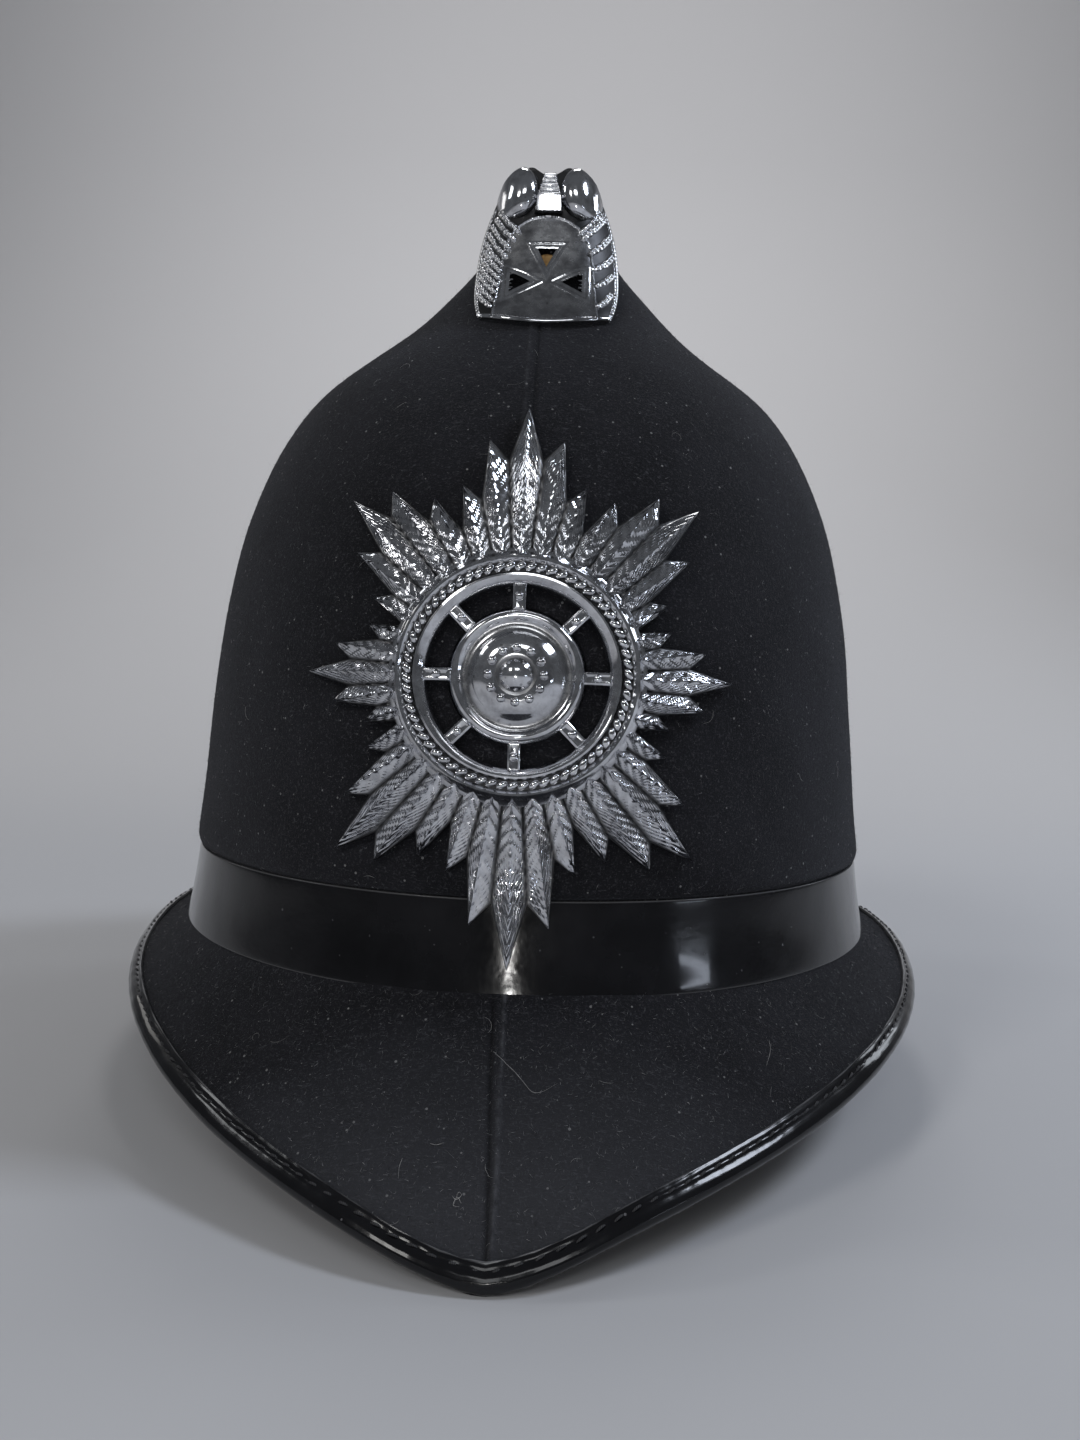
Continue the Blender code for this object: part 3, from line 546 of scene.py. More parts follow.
def threadMaterial():
    material, tree = newMaterial("blackThread", Roughness=0.55)
    twist = addNode(tree, "TexWave", Vector=objectPlace(tree), Scale=900.0, Distortion=1.5).outputs["Fac"]
    feedShader(tree, Base_Color=ramp(tree, twist, (0.2, (0.008, 0.008, 0.009)), (0.9, (0.05, 0.05, 0.055))),
               Normal=bump(tree, twist, 0.5, 0.1 * mm))
    return material


felt = feltMaterial()
wool = fibreMaterial()
lint = lintMaterial()
patent = patentMaterial()
chrome = chromeMaterial()
brass = brassMaterial()
thread = threadMaterial()
print("materials ready")


# felt crown and brim, with the seam down the middle of each

feltShape = {
    "levels": 2, "swell": 0.2 * mm, "swellScale": 55.0, "seamReach": 3.4 * mm, "grooveDepth": 0.42 * mm,
    "grooveWidth": 0.60 * mm, "lapStart": 0.5 * mm, "lapEnd": 0.7 * mm, "crestWidth": 0.42 * mm,
    "crownHalf": 3.5 * mm, "crownCuts": 2, "crownLap": 2.0 * mm, "crownRise": 0.22 * mm,
    "brimHalf": 4.5 * mm, "brimCuts": 3, "brimRise": 0.30 * mm,
}


def roundedCopy(nodeName, pieceName, levels, bevelWidth=0.0):
    piece = copyNode(nodeName, pieceName)
    if bevelWidth:
        modify(piece, "BEVEL", width=bevelWidth, segments=2, limit_method="ANGLE", angle_limit=math.radians(40))
    modify(piece, "SUBSURF", levels=levels)
    return piece


def lapProfile(x, groove, ridge, rise):
    # across a lapped seam: its height, and how far the groove and the ridge show
    inner = (x - groove) * np.sign(ridge - groove)
    width = np.abs(ridge - groove)
    start, end = feltShape["lapStart"], feltShape["lapEnd"]
    lap = rise * smoothStep(inner / start) * smoothStep((width + end - inner) / end)
    crest = bell(inner - width, feltShape["crestWidth"])
    dip = bell(x - groove, feltShape["grooveWidth"])
    return lap + 0.6 * rise * crest - feltShape["grooveDepth"] * dip, dip, crest


def outerFace(coords, normals):
    # true where a face of the crown looks away from the hollow
    heart = np.zeros_like(coords)
    heart[:, 1] = axisY
    heart[:, 2] = np.minimum(coords[:, 2], 0.12)
    return np.einsum("ij,ij->i", coords - heart, normals) > 0


def nearCrownSeam(centres, normals):
    x, y, z = centres.T
    return (np.abs(x) < feltShape["crownHalf"]) & outerFace(centres, normals) & (z > bandTop)


def nearBrimSeam(centres, normals):
    return (np.abs(centres[:, 0]) < feltShape["brimHalf"]) & (normals[:, 2] > 0.25)


def crownSeam(coords, normals):
    x, y, z = coords.T
    line = np.interp(z, [0.06, 0.12, 0.19, 0.237], [0.0005, 0.0005, 0.0007, 0.0019])
    height, dip, crest = lapProfile(x, line, line - feltShape["crownLap"], feltShape["crownRise"])
    here = (np.abs(x - line) < feltShape["seamReach"]) & outerFace(coords, normals) & (z > bandTop)
    return height * here, dip * here, crest * here * 0.5


def brimSeam(coords, normals):
    x, y, z = coords.T
    along = [-0.1515, -0.1374, -0.1255, -0.1134, 0.12, 0.15]
    groove = np.interp(y, along, [0.0, -0.0009, -0.0019, -0.0026, 0.0, 0.0])
    ridge = np.interp(y, along, [0.0008, 0.0007, 0.0001, -0.0001, 0.002, 0.002])
    height, dip, crest = lapProfile(x, groove, ridge, feltShape["brimRise"])
    clear = smoothStep((np.abs(y - axisY) - np.where(y < 0, 0.1185, 0.1195)) / (1.2 * mm))
    here = (np.abs(x) < feltShape["seamReach"]) & (normals[:, 2] > 0.2)
    return height * here * clear, dip * here, crest * here


def makeFelt(nodeName, pieceName, nearSeam, cuts, seam):
    piece = roundedCopy(nodeName, pieceName, feltShape["levels"])
    pushOut(piece, lambda coords, normals: noiseAt(coords, feltShape["swellScale"]) * feltShape["swell"])
    refine(piece, nearSeam, cuts)
    height, dip, crest = seam(meshCoords(piece), vertexNormals(piece))
    pushOut(piece, lambda coords, normals: height)
    # the seam attribute: where the groove's painted shade and the ridge's painted highlight lie
    mark(piece, "seam", columnsOf(dip, crest, dip * 0))
    smoothPiece(piece)
    return dress(piece, felt, nodeName)


crownFelt = makeFelt("crown", "crownFelt", nearCrownSeam, feltShape["crownCuts"], crownSeam)
brimFelt = makeFelt("brim", "brimFelt", nearBrimSeam, feltShape["brimCuts"], brimSeam)
print("felt crown and brim shaped")


# patent band, and the binding with its stitched line

bindingShape = {
    "bevel": 0.22 * mm, "bandLevels": 2, "levels": 1, "cuts": 3, "stripWide": 4.4 * mm, "line": 0.40,
    "press": 0.20 * mm, "pucker": 0.10 * mm, "lip": 0.10 * mm, "wave": 0.10 * mm, "edge": 0.30 * mm,
    "pressWide": 0.42 * mm, "puckerWide": 1.2 * mm, "waveWide": 2.0 * mm, "waveLong": 5.1 * mm, "waveDrift": 17 * mm,
    "pitch": 3.9 * mm, "slant": 0.16, "stitchLong": 2.5 * mm, "stitchWide": 0.55 * mm, "stitchHigh": 0.42 * mm,
}
stripTurns = np.linspace(0, 2 * math.pi, 721)


def makeBand():
    band = roundedCopy("band", "bandLeather", bindingShape["bandLevels"], bindingShape["bevel"])
    heights = meshCoords(band)[:, 2]
    fromEnd = np.minimum(heights - heights.min(), heights.max() - heights)
    # where the band's top and bottom edges get their painted highlight
    mark(band, "edge", smoothStep(1.0 - fromEnd / bindingShape["edge"]))
    smoothPiece(band)
    return dress(band, patent, "band")


def castDown(tree, side, turn, radius):
    # what lies at a level distance from the axis, from above or below; no turn is straight ahead
    start = Vector((radius * math.sin(turn), axisY - radius * math.cos(turn), 0.2 * side))
    return tree.ray_cast(start, Vector((0, 0, -side)))[:2]


def stripEdges(tree, feltTree, side):
    # level distance of the strip's inner and outer edge from the axis, all round
    step = 0.0012

    def hit(radius, turn):
        place = castDown(tree, side, turn, radius)[0]
        if place is None:
            return False
        covered = castDown(feltTree, side, turn, radius)[0]
        return covered is None or (place.z - covered.z) * side > 0

    def narrow(miss, found, turn):
        for k in range(9):
            middle = (miss + found) / 2
            if hit(middle, turn):
                found = middle
            else:
                miss = middle
        return found

    edges = []
    for turn in stripTurns:
        struck = [radius for radius in np.arange(0.085, 0.17, step) if hit(radius, turn)]
        edges.append((narrow(struck[0] - step, struck[0], turn), narrow(struck[-1] + step, struck[-1], turn)))
    return np.array(edges).T


def stripPoint(tree, side, turn, radius):
    place, normal = castDown(tree, side, turn, radius)
    if normal.z * side < 0:
        normal = -normal
    return tuple(place), tuple(normal)


def traceStrip(side):
    # the strip's two edges, and the places, normals and run of its stitched line
    inner, outer = stripEdges(bindingTree, brimTree, side)
    radii = inner + bindingShape["line"] * (outer - inner)
    line = [stripPoint(bindingTree, side, turn, radius) for turn, radius in zip(stripTurns, radii)]
    places, normals = np.array(line).transpose(1, 0, 2)
    run = np.concatenate([[0], np.cumsum(np.linalg.norm(np.diff(places, axis=0), axis=1))])
    return {"inner": inner, "outer": outer, "places": places, "normals": normals, "run": run}


def stripShares(coords, side):
    # share of the way from the strip's inner edge to its nose, and the length run round it
    x, y = coords[:, 0], coords[:, 1] - axisY
    turns = np.arctan2(x, -y) % (2 * math.pi)
    low, high, run = (np.interp(turns, stripTurns, stripSides[side][key]) for key in ("inner", "outer", "run"))
    return (np.hypot(x, y) - low) / (high - low), run


def onStrip(centres, normals):
    above = (stripShares(centres, 1)[0] < 0.9) & (normals[:, 2] > 0.3)
    below = (stripShares(centres, -1)[0] < 0.9) & (normals[:, 2] < -0.3) & (centres[:, 2] > 1.5 * mm)
    return above | below


def pressStrip(coords, normals):
    # the leather drawn in at the stitched line, with puckers, soft waves and a raised lip
    shape = bindingShape
    amount = np.zeros(len(coords))
    for side in (1, -1):
        share, run = stripShares(coords, side)
        away = (share - shape["line"]) * shape["stripWide"]
        press = -shape["press"] * bell(away, shape["pressWide"])
        pucker = shape["pucker"] * np.cos(2 * math.pi * run / shape["pitch"]) * bell(away, shape["puckerWide"])
        sway = np.sin(run / shape["waveLong"] + np.sin(run / shape["waveDrift"]))
        wave = shape["wave"] * sway * bell(away, shape["waveWide"])
        lip = shape["lip"] * smoothStep((0.12 - share) / 0.08)
        here = (normals[:, 2] * side > 0.2) & (coords[:, 2] > 1.2 * mm)
        amount = np.where(here, press + pucker + wave + lip, amount)
    return amount


def modelStitch():
    # one stitch: a ball drawn out, with its two ends bent down into the leather
    stitch = addPiece("stitch", bpy.ops.mesh.primitive_uv_sphere_add, segments=8, ring_count=8, radius=0.5,
                      rotation=(0, math.pi / 2, 0))
    applyPlace(stitch, (bindingShape["stitchLong"], bindingShape["stitchWide"], bindingShape["stitchHigh"]))
    coords = meshCoords(stitch)
    coords[:, 2] -= 0.42 * mm * (coords[:, 0] / (bindingShape["stitchLong"] / 2)) ** 2
    setCoords(stitch, coords)
    return stitch


def sewBinding():
    rows = []
    for side, strip in stripSides.items():
        total = strip["run"][-1]
        count = int(total / bindingShape["pitch"])

        def onLine(key, run, **values):
            return np.array([np.interp(run, strip["run"], column, **values) for column in strip[key].T])

        for at in (np.arange(count) + 0.5) * total / count:
            before, after = (onLine("places", at + shift, period=total) for shift in (-0.5 * mm, 0.5 * mm))
            normal = unit(onLine("normals", at))
            along = unit(after - before)
            across = unit(np.cross(normal, along))
            place = (before + after) / 2 - normal * bindingShape["press"] * 0.4
            if place[2] < 1.6 * mm and side < 0:
                continue
            slant = along * math.cos(bindingShape["slant"]) + across * math.sin(bindingShape["slant"])
            rows.append((place, slant, unit(np.cross(normal, slant)), normal))
    stitches = repeatPiece("bindingStitches", modelStitch(), *np.array(rows).transpose(1, 0, 2))
    smoothPiece(stitches)
    return dress(stitches, thread)


def makeBinding():
    binding = roundedCopy("edge_binding", "bindingLeather", bindingShape["levels"], bindingShape["bevel"])
    refine(binding, onStrip, bindingShape["cuts"])
    share = stripShares(meshCoords(binding), 1)[0]
    # where the strip's inner edge gets its painted highlight
    mark(binding, "edge", smoothStep((0.13 - share) / 0.06) * (vertexNormals(binding)[:, 2] > 0))
    pushOut(binding, pressStrip)
    smoothPiece(binding)
    return dress(binding, patent, "edge_binding")


makeBand()
bindingTree = treeOf(nodes["edge_binding"])
brimTree = treeOf(nodes["brim"])
stripSides = {side: traceStrip(side) for side in (1, -1)}
makeBinding()
sewBinding()
print("patent band, binding and stitches shaped")


# front plate: veined rays round a pierced medallion, modelled flat and laid on the crown

badgeShape = {
    "centre": bandTop + 46.7 * mm, "width": 93 * mm, "tall": 121 * mm, "squareness": 2.7, "raySlots": 40,
    "longPoint": (0.70, 0.86, 1.00, 0.86, 0.70), "shortPoint": (0.70, 0.83, 0.95, 0.83, 0.70),
    "notch": 0.9, "deepNotch": 0.86, "thickness": 0.9 * mm, "medal": 26.5 * mm, "rayHeight": 1.6 * mm,
    "vein": 0.46 * mm, "veinPitch": 2.7 * mm, "ribHigh": 0.28 * mm, "ribWide": 0.24 * mm, "roughness": 0.02 * mm,
    "columns": 640, "rows": 84, "posts": 8.5 * mm, "postRadius": 1.6 * mm, "postLong": 6.4 * mm,
    "bossSteps": 150, "rimSteps": 200, "bossBeads": 12, "spokes": 8, "spokeRing": 16.55 * mm,
    "ropeBeads": 66, "ropeRing": 22.5 * mm, "ropeSlant": math.radians(58),
}
bossProfile = [
    (0, 6.3), (0.7, 6.25), (1.5, 6.0), (2.3, 5.55), (2.9, 4.95), (3.2, 4.55), (3.5, 4.35), (3.9, 4.5), (4.4, 4.62),
    (5.3, 4.6), (6.4, 4.35), (7.4, 3.85), (8.3, 3.15), (9.0, 2.5), (9.6, 2.05), (10.3, 1.85), (11.0, 1.85),
    (11.5, 2.15), (11.9, 2.65), (12.4, 2.95), (12.9, 2.9), (13.4, 2.45), (13.9, 1.85), (14.25, 1.4), (14.25, 0),
    (0, 0),
]
rimProfile = [
    (18.95, 0), (18.95, 1.5), (19.2, 1.95), (19.7, 2.5), (20.2, 3.15), (20.6, 3.45), (21.0, 3.4), (21.25, 2.95),
    (21.5, 2.7), (22.5, 2.65), (23.5, 2.7), (23.8, 3.0), (24.1, 3.45), (24.5, 3.5), (24.9, 3.2), (25.5, 2.5),
    (26.2, 1.9), (26.9, 1.5), (26.9, 0),
]
paintedShadeRings = [  # painted shade in rings: near and far radius, the height below which it darkens, the fade and the amount
    (21.2, 23.9, 2.95, 0.25, 1.0), (9.4, 11.8, 2.15, 0.3, 0.5), (3.1, 4.4, 4.75, 0.3, 0.7),
]


def rayTable():
    # turn and length of each ray, and the distance of the notch before it
    turns = np.radians(9.0) * (np.arange(badgeShape["raySlots"]) - 2)
    power = badgeShape["squareness"]
    across = np.abs(np.sin(turns)) / (badgeShape["width"] / 2)
    upward = np.abs(np.cos(turns)) / (badgeShape["tall"] / 2)
    reach = (across ** power + upward ** power) ** (-1 / power)
    lengths = np.array((badgeShape["longPoint"] + badgeShape["shortPoint"]) * 4) * reach
    notches = badgeShape["notch"] * np.minimum(np.roll(lengths, 1), lengths)
    notches[::5] *= badgeShape["deepNotch"]
    return turns, lengths, notches


def rayShares(turn, radius):
    # across the nearest ray, as a length and as a share; how far along it; its edge; and which one it is
    turns, lengths, notches = rayTable()
    half = np.radians(4.5)
    count = badgeShape["raySlots"]
    index = np.floor((turn - turns[0] + half) / (2 * half)).astype(int) % count
    lean = (turn - turns[index] + math.pi) % (2 * math.pi) - math.pi
    away = np.minimum(np.abs(lean), half)
    side = np.where(lean > 0, notches[(index + 1) % count], notches[index])
    tip = lengths[index]
    across = radius * np.sin(away)
    taper = side * np.sin(half) * (tip - radius) / (tip - side * np.cos(half))
    halfWide = np.maximum(np.where(radius < side, radius * np.sin(half), taper), 0.02 * mm)
    along = (radius - badgeShape["medal"]) / (tip - badgeShape["medal"])
    edge = tip * side * np.sin(half) / (tip * np.sin(away) + side * np.sin(half - away))
    return across, np.clip(across / halfWide, 0, 1), along, edge, index


def layRays(s, t):
    # flat places of the rays' grid: round by s, outward by t, and the relief as height
    turn = 2 * math.pi * s + rayTable()[0][0] - np.radians(4.5)
    start = badgeShape["medal"] - 1.2 * mm
    radius = start + (rayShares(turn, start)[3] - start) * t
    across, share, along, edge, index = rayShares(turn, radius)
    crest = badgeShape["rayHeight"] * np.interp(along, [0, 0.3, 0.62, 0.92, 1], [1.05, 0.92, 0.76, 0.45, 0.12])
    body = crest * (1 - share ** 1.8)
    phase = (radius - 1.45 * across) / (badgeShape["veinPitch"] * (0.9 + 0.2 * np.sin(index * 2.3)))
    cut = 0.5 - 0.5 * np.cos(2 * math.pi * phase)
    fade = np.sqrt(np.clip(np.sin(math.pi * share), 0, 1)) * smoothStep((0.97 - along) / 0.12)
    vein = badgeShape["vein"] * cut * fade
    rib = badgeShape["ribHigh"] * bell(across, badgeShape["ribWide"]) * smoothStep((1 - along) / 0.1)
    height = badgeShape["thickness"] + np.maximum(body - vein, 0) + rib
    places = columnsOf(radius * np.sin(turn), radius * np.cos(turn), height)
    places[:, 2] += badgeShape["roughness"] * noiseAt(places, 420.0)
    return places


def modelRays():
    # the relief's grid welded into a ring, with its edges drawn down and closed by a flat back
    rays = gridSheet("rays", badgeShape["columns"], badgeShape["rows"], layRays)
    with editing(rays):
        selectMesh()
        bpy.ops.mesh.remove_doubles(threshold=0.003 * mm)
        bpy.ops.mesh.select_mode(type="EDGE")
        bpy.ops.mesh.select_non_manifold(extend=False, use_wire=False, use_boundary=True, use_multi_face=False,
                                         use_non_contiguous=False, use_verts=False)
        bpy.ops.mesh.extrude_edges_move()
        bpy.ops.transform.resize(value=(1, 1, 0), center_override=(0, 0, 0))
        bpy.ops.mesh.bridge_edge_loops()
        selectMesh()
        bpy.ops.mesh.normals_make_consistent(inside=False)
    return rays


def modelBead(radius, stretch, height):
    bead = addPiece("bead", bpy.ops.mesh.primitive_uv_sphere_add, segments=14, ring_count=9, radius=radius)
    applyPlace(bead, (1, stretch, height))
    with editing(bead):
        selectMesh()
        bpy.ops.mesh.bisect(plane_co=(0, 0, -0.25 * radius), plane_no=(0, 0, 1), clear_inner=True, use_fill=True)
    return bead


def modelSpoke():
    # a short bar with a raised, hollowed back
    spoke = addPiece("spoke", bpy.ops.mesh.primitive_cube_add, size=1, location=(0, 0, 0.85 * mm))
    applyPlace(spoke, (2.7 * mm, 6.0 * mm, 1.7 * mm))

    def raiseBack():
        for width, rise in ((0.45 * mm, 0.35 * mm), (0.35 * mm, -0.2 * mm)):
            bpy.ops.mesh.inset(thickness=width)
            bpy.ops.transform.translate(value=(0, 0, rise))

    editFaces(spoke, lambda centres, normals: normals[:, 2] > 0.9, raiseBack)
    modify(spoke, "BEVEL", width=0.12 * mm, segments=2)
    return spoke


def ringOf(name, source, count, radius, height, slant=0.0):
    # copies of a source round the medallion, each with its front outward
    turns = 2 * math.pi * np.arange(count) / count
    outward = columnsOf(np.sin(turns), np.cos(turns), 0 * turns)
    along = columnsOf(np.cos(turns), -np.sin(turns), 0 * turns)
    ups = np.tile([0.0, 0.0, 1.0], (count, 1))
    fronts = outward * math.cos(slant) + along * math.sin(slant)
    return repeatPiece(name, source, outward * radius + ups * height, np.cross(fronts, ups), fronts, ups)


def backFace():
    # the smooth face that the plate's back follows, fitted to its solid: depth at a place
    badge = nodes["badge"].data
    points = []
    for face in badge.polygons:
        if face.normal.y > 0.8:
            for index in face.vertices:
                place = badge.vertices[index].co
                if abs(place.x) > 3 * mm or abs(place.z - badgeShape["centre"]) > 12 * mm:
                    points.append(place[:])
    points = np.array(points)

    def terms(x, z):
        a, b = x / 0.05, (z - badgeShape["centre"]) / 0.06
        fall = np.maximum(bandTop - z, 0) / 0.02
        return columnsOf(a ** 0, b, b ** 2, b ** 3, b ** 4, a ** 2, a ** 2 * b, a ** 2 * b ** 2, a ** 2 * b ** 3,
                         a ** 4, a ** 4 * b, a ** 4 * b ** 2, fall, fall * b)

    for limit in (0.8 * mm, 0.4 * mm, 0.3 * mm):
        weights = np.linalg.lstsq(terms(points[:, 0], points[:, 2]), points[:, 1], rcond=None)[0]
        missed = np.abs(terms(points[:, 0], points[:, 2]) @ weights - points[:, 1])
        points = points[missed < limit]
    print("plate's back follows its solid within", round(float(np.percentile(missed, 95)) / mm, 3), "mm")
    return lambda x, z: terms(x, z) @ weights


def layOnCrown(piece, depth):
    coords = meshCoords(piece)
    x, z = coords[:, 0], coords[:, 1] + badgeShape["centre"]
    step = 0.5 * mm
    slopeX = (depth(x + step, z) - depth(x - step, z)) / (2 * step)
    slopeZ = (depth(x, z + step) - depth(x, z - step)) / (2 * step)
    outward = unit(columnsOf(slopeX, -np.ones_like(x), slopeZ))
    setCoords(piece, columnsOf(x, depth(x, z), z) + outward * coords[:, 2:3])


def modelPosts(depth):
    # the two posts that hold the plate, seen only from inside the helmet
    posts, long = [], badgeShape["postLong"]
    for side in (-1, 1):
        height = badgeShape["centre"] + side * badgeShape["posts"]
        middle = depth(np.array([0.0]), np.array([height]))[0] + long / 2
        post = addPiece("post", bpy.ops.mesh.primitive_cylinder_add, vertices=28, radius=badgeShape["postRadius"],
                        depth=long, location=(0, middle, height), rotation=(math.pi / 2, 0, 0))
        applyPlace(post)
        modify(post, "BEVEL", width=0.3 * mm, segments=3, limit_method="ANGLE")
        posts.append(post)
    return posts


def badgePaintedShade(coords):
    # painted shade on the plating in the rays' cuts and valleys, under the rope and beside the collars
    radius, height = np.hypot(coords[:, 0], coords[:, 1]), coords[:, 2]
    share, along = rayShares(np.arctan2(coords[:, 0], coords[:, 1]), radius * mm)[1:3]
    crest = badgeShape["rayHeight"] * np.interp(along, [0, 0.6, 1], [1.0, 0.75, 0.15])
    full = (badgeShape["thickness"] + crest) / mm
    cuts = np.interp(coords[:, 1], [-30, 0], [0.9, 0.4]) * smoothStep((full * 0.80 - height) / (full * 0.6))
    rays = np.maximum(cuts, smoothStep((share - 0.66) / 0.3)) * (radius > badgeShape["medal"] / mm)
    rings = [much * smoothStep((level - height) / fade) * (radius > near) * (radius < far)
             for near, far, level, fade, much in paintedShadeRings]
    return highest(rays, *rings)


def modelBadge():
    spokes, spokeRing = badgeShape["spokes"], badgeShape["spokeRing"]
    parts = [
        modelRays(),
        spunPiece("boss", bossProfile, badgeShape["bossSteps"]),
        spunPiece("rim", rimProfile, badgeShape["rimSteps"]),
        ringOf("bossBeads", modelBead(0.95 * mm, 1, 1.0), badgeShape["bossBeads"], 5.5 * mm, 4.45 * mm),
        ringOf("spokes", modelSpoke(), spokes, spokeRing, 0.0),
        ringOf("spokeBeads", modelBead(1.0 * mm, 1, 0.9), spokes, spokeRing, 1.75 * mm),
        ringOf("rope", modelBead(0.78 * mm, 1.75, 1.0), badgeShape["ropeBeads"], badgeShape["ropeRing"], 2.75 * mm,
               badgeShape["ropeSlant"]),
    ]
    badge = joinPieces(parts, "starBadge")
    # painted shade in the hollows of the relief
    mark(badge, "paintedShadeAndFrost", badgePaintedShade(meshCoords(badge) / mm))
    depth = backFace()
    layOnCrown(badge, depth)
    badge = joinPieces([badge] + modelPosts(depth), "starBadge")
    smoothPiece(badge, 38)
    return dress(badge, chrome, "badge")


modelBadge()
print("front plate shaped")


# mount on the comb: a relief sheet modelled flat in millimetres, pierced, and laid on its place

mountShape = {
    "foot": bandTop + 136.5 * mm, "sag": 2.7 * mm, "wrap": 9 * mm, "standoff": 2.6 * mm, "wall": 1.2 * mm,
    "sheet": 0.9 * mm, "columns": 184, "rows": 198, "crossHeight": 10.1, "arm": 11.2, "windowRadius": 10.9,
    "windowSpring": 17.2, "lobeAcross": 8.3, "lobeHeight": 36.0, "neckFoot": 29.2, "neckTop": 33.5, "top": 42,
    "cordHeight": 1.15, "cordPitch": 1.4, "leftCord": (0.64, 0.42), "rightCord": (0.66, 0.5), "rimIn": 0.6,
    "rimCord": (0.45, 0.7, 1.1, 0.7), "straightFrom": 27, "leanOut": 0.30,
}
outlineTable = [  # height and half width in millimetres
    (0.0, 16.6), (5.2, 18.0), (12.6, 18.4), (19.5, 18.1), (26.5, 17.0), (33.6, 14.5), (37.2, 12.9), (40.7, 10.6),
    (42.6, 8.9),
]
topTable = [  # share of the half width, and the sheet's height there in millimetres
    (0.0, 40.3), (0.15, 40.7), (0.35, 42.1), (0.52, 42.7), (0.7, 42.3), (0.85, 41.1), (1.0, 38.6),
]
leftRibs = [  # outer end, then inner end, in millimetres across and up; one more cord lies between each pair
    (12.7, 31.4, 7.3, 24.2), (14.7, 28.2, 9.9, 19.6), (16.0, 23.3, 11.4, 15.2), (16.6, 18.4, 12.2, 11.4),
    (17.1, 13.6, 12.9, 7.7), (17.3, 8.5, 13.8, 3.6),
]
rightRibs = [  # the same for the right flank's single cords
    (13.3, 31.9, 8.3, 24.1), (14.2, 30.9, 9.2, 22.8), (16.0, 26.2, 11.2, 19.0), (16.6, 20.1, 12.4, 14.6),
    (16.6, 14.3, 12.9, 9.9), (16.4, 8.1, 13.3, 4.2),
]


def smoothTable(table, value, degree):
    # a smooth curve through a table's rows
    places, values = np.array(table).T
    span = places[-1]
    return np.polyval(np.polyfit(places / span, values, degree), np.clip(value, 0, span) / span)


def mountHalf(rise):
    return smoothTable(outlineTable, rise, 5)


def alongSegment(x, y, start, end):
    # distance from a segment, and the length run along it
    run = np.array(end, float) - np.array(start, float)
    length = np.hypot(*run)
    share = np.clip(((x - start[0]) * run[0] + (y - start[1]) * run[1]) / length ** 2, 0, 1)
    return np.hypot(x - start[0] - share * run[0], y - start[1] - share * run[1]), share * length


def cord(distance, run, half, height, pitch, beading):
    # height of a twisted cord: round across, beaded along
    beads = 1 - beading * (0.5 - 0.5 * np.cos(2 * math.pi * run / pitch))
    return height * beads * roundTop(distance, half)


def ribRelief(x, y):
    # cords slanting down both flanks: close ones on the left, single ones on the right
    close = [tuple(np.interp(k, range(len(leftRibs)), column) for column in zip(*leftRibs))
             for k in np.arange(0, len(leftRibs) - 0.99, 0.5)]
    ribs = np.zeros_like(x)
    for side, rows, (half, beading) in ((-1, close, mountShape["leftCord"]), (1, rightRibs, mountShape["rightCord"])):
        for outerX, outerY, innerX, innerY in rows:
            bow = ((outerX + innerX) / 2 + 0.25, (outerY + innerY) / 2 - 0.45)
            for start, end, begin in (((outerX, outerY), bow, 0.0), (bow, (innerX, innerY), 0.4)):
                distance, run = alongSegment(x * side, y, start, end)
                ribs = np.maximum(ribs, cord(distance, run + begin, half, mountShape["cordHeight"],
                                             mountShape["cordPitch"], beading))
    return ribs


def crossRelief(x, y, height):
    # the splayed cross: outlined arms up, left and right with a field between two frames
    arm, up = mountShape["arm"], y - mountShape["crossHeight"]
    for along, across in ((up, x), (-x, up), (x, up)):
        inside = np.minimum(0.49 * along - np.abs(across), (arm - along) * 0.9) * 0.9
        field = 0.15 * smoothStep(inside / 0.2) - 0.5
        outerFrame = 0.60 * roundTop(inside - 0.36, 0.34) - 0.35
        innerFrame = 0.55 * roundTop(inside - 1.32, 0.32) - 0.35
        relief = highest(height, field, outerFrame, innerFrame)
        height = np.where((inside > 0) & (along > 0) & (along < arm), relief, height)
    return height


def lobeRelief(ax, y):
    # the two round lobes at the top
    drop = np.where(y > mountShape["lobeHeight"], 7.2, 7.6)
    lobe = 1 - ((ax - mountShape["lobeAcross"]) / 5.6) ** 2 - ((y - mountShape["lobeHeight"]) / drop) ** 2
    return 4.9 * np.sqrt(np.clip(lobe, 0, 1)) - 0.1


def neckRelief(ax, y):
    # between the lobes: a plain ledge below, flutes above
    foot, top = mountShape["neckFoot"], mountShape["neckTop"]
    wide = np.interp(y, [foot, 33.4, 40.4], [3.8, 3.4, 1.8])
    flutes = 2.2 + 0.55 * np.abs(np.sin(math.pi * (y - top) / 1.4)) - 0.12 * (y - top)
    ledge = 2.0 + 0.17 * (y - foot)
    return np.where(y > top, flutes, ledge) * smoothStep((wide - ax) / 0.5) * (y > foot)


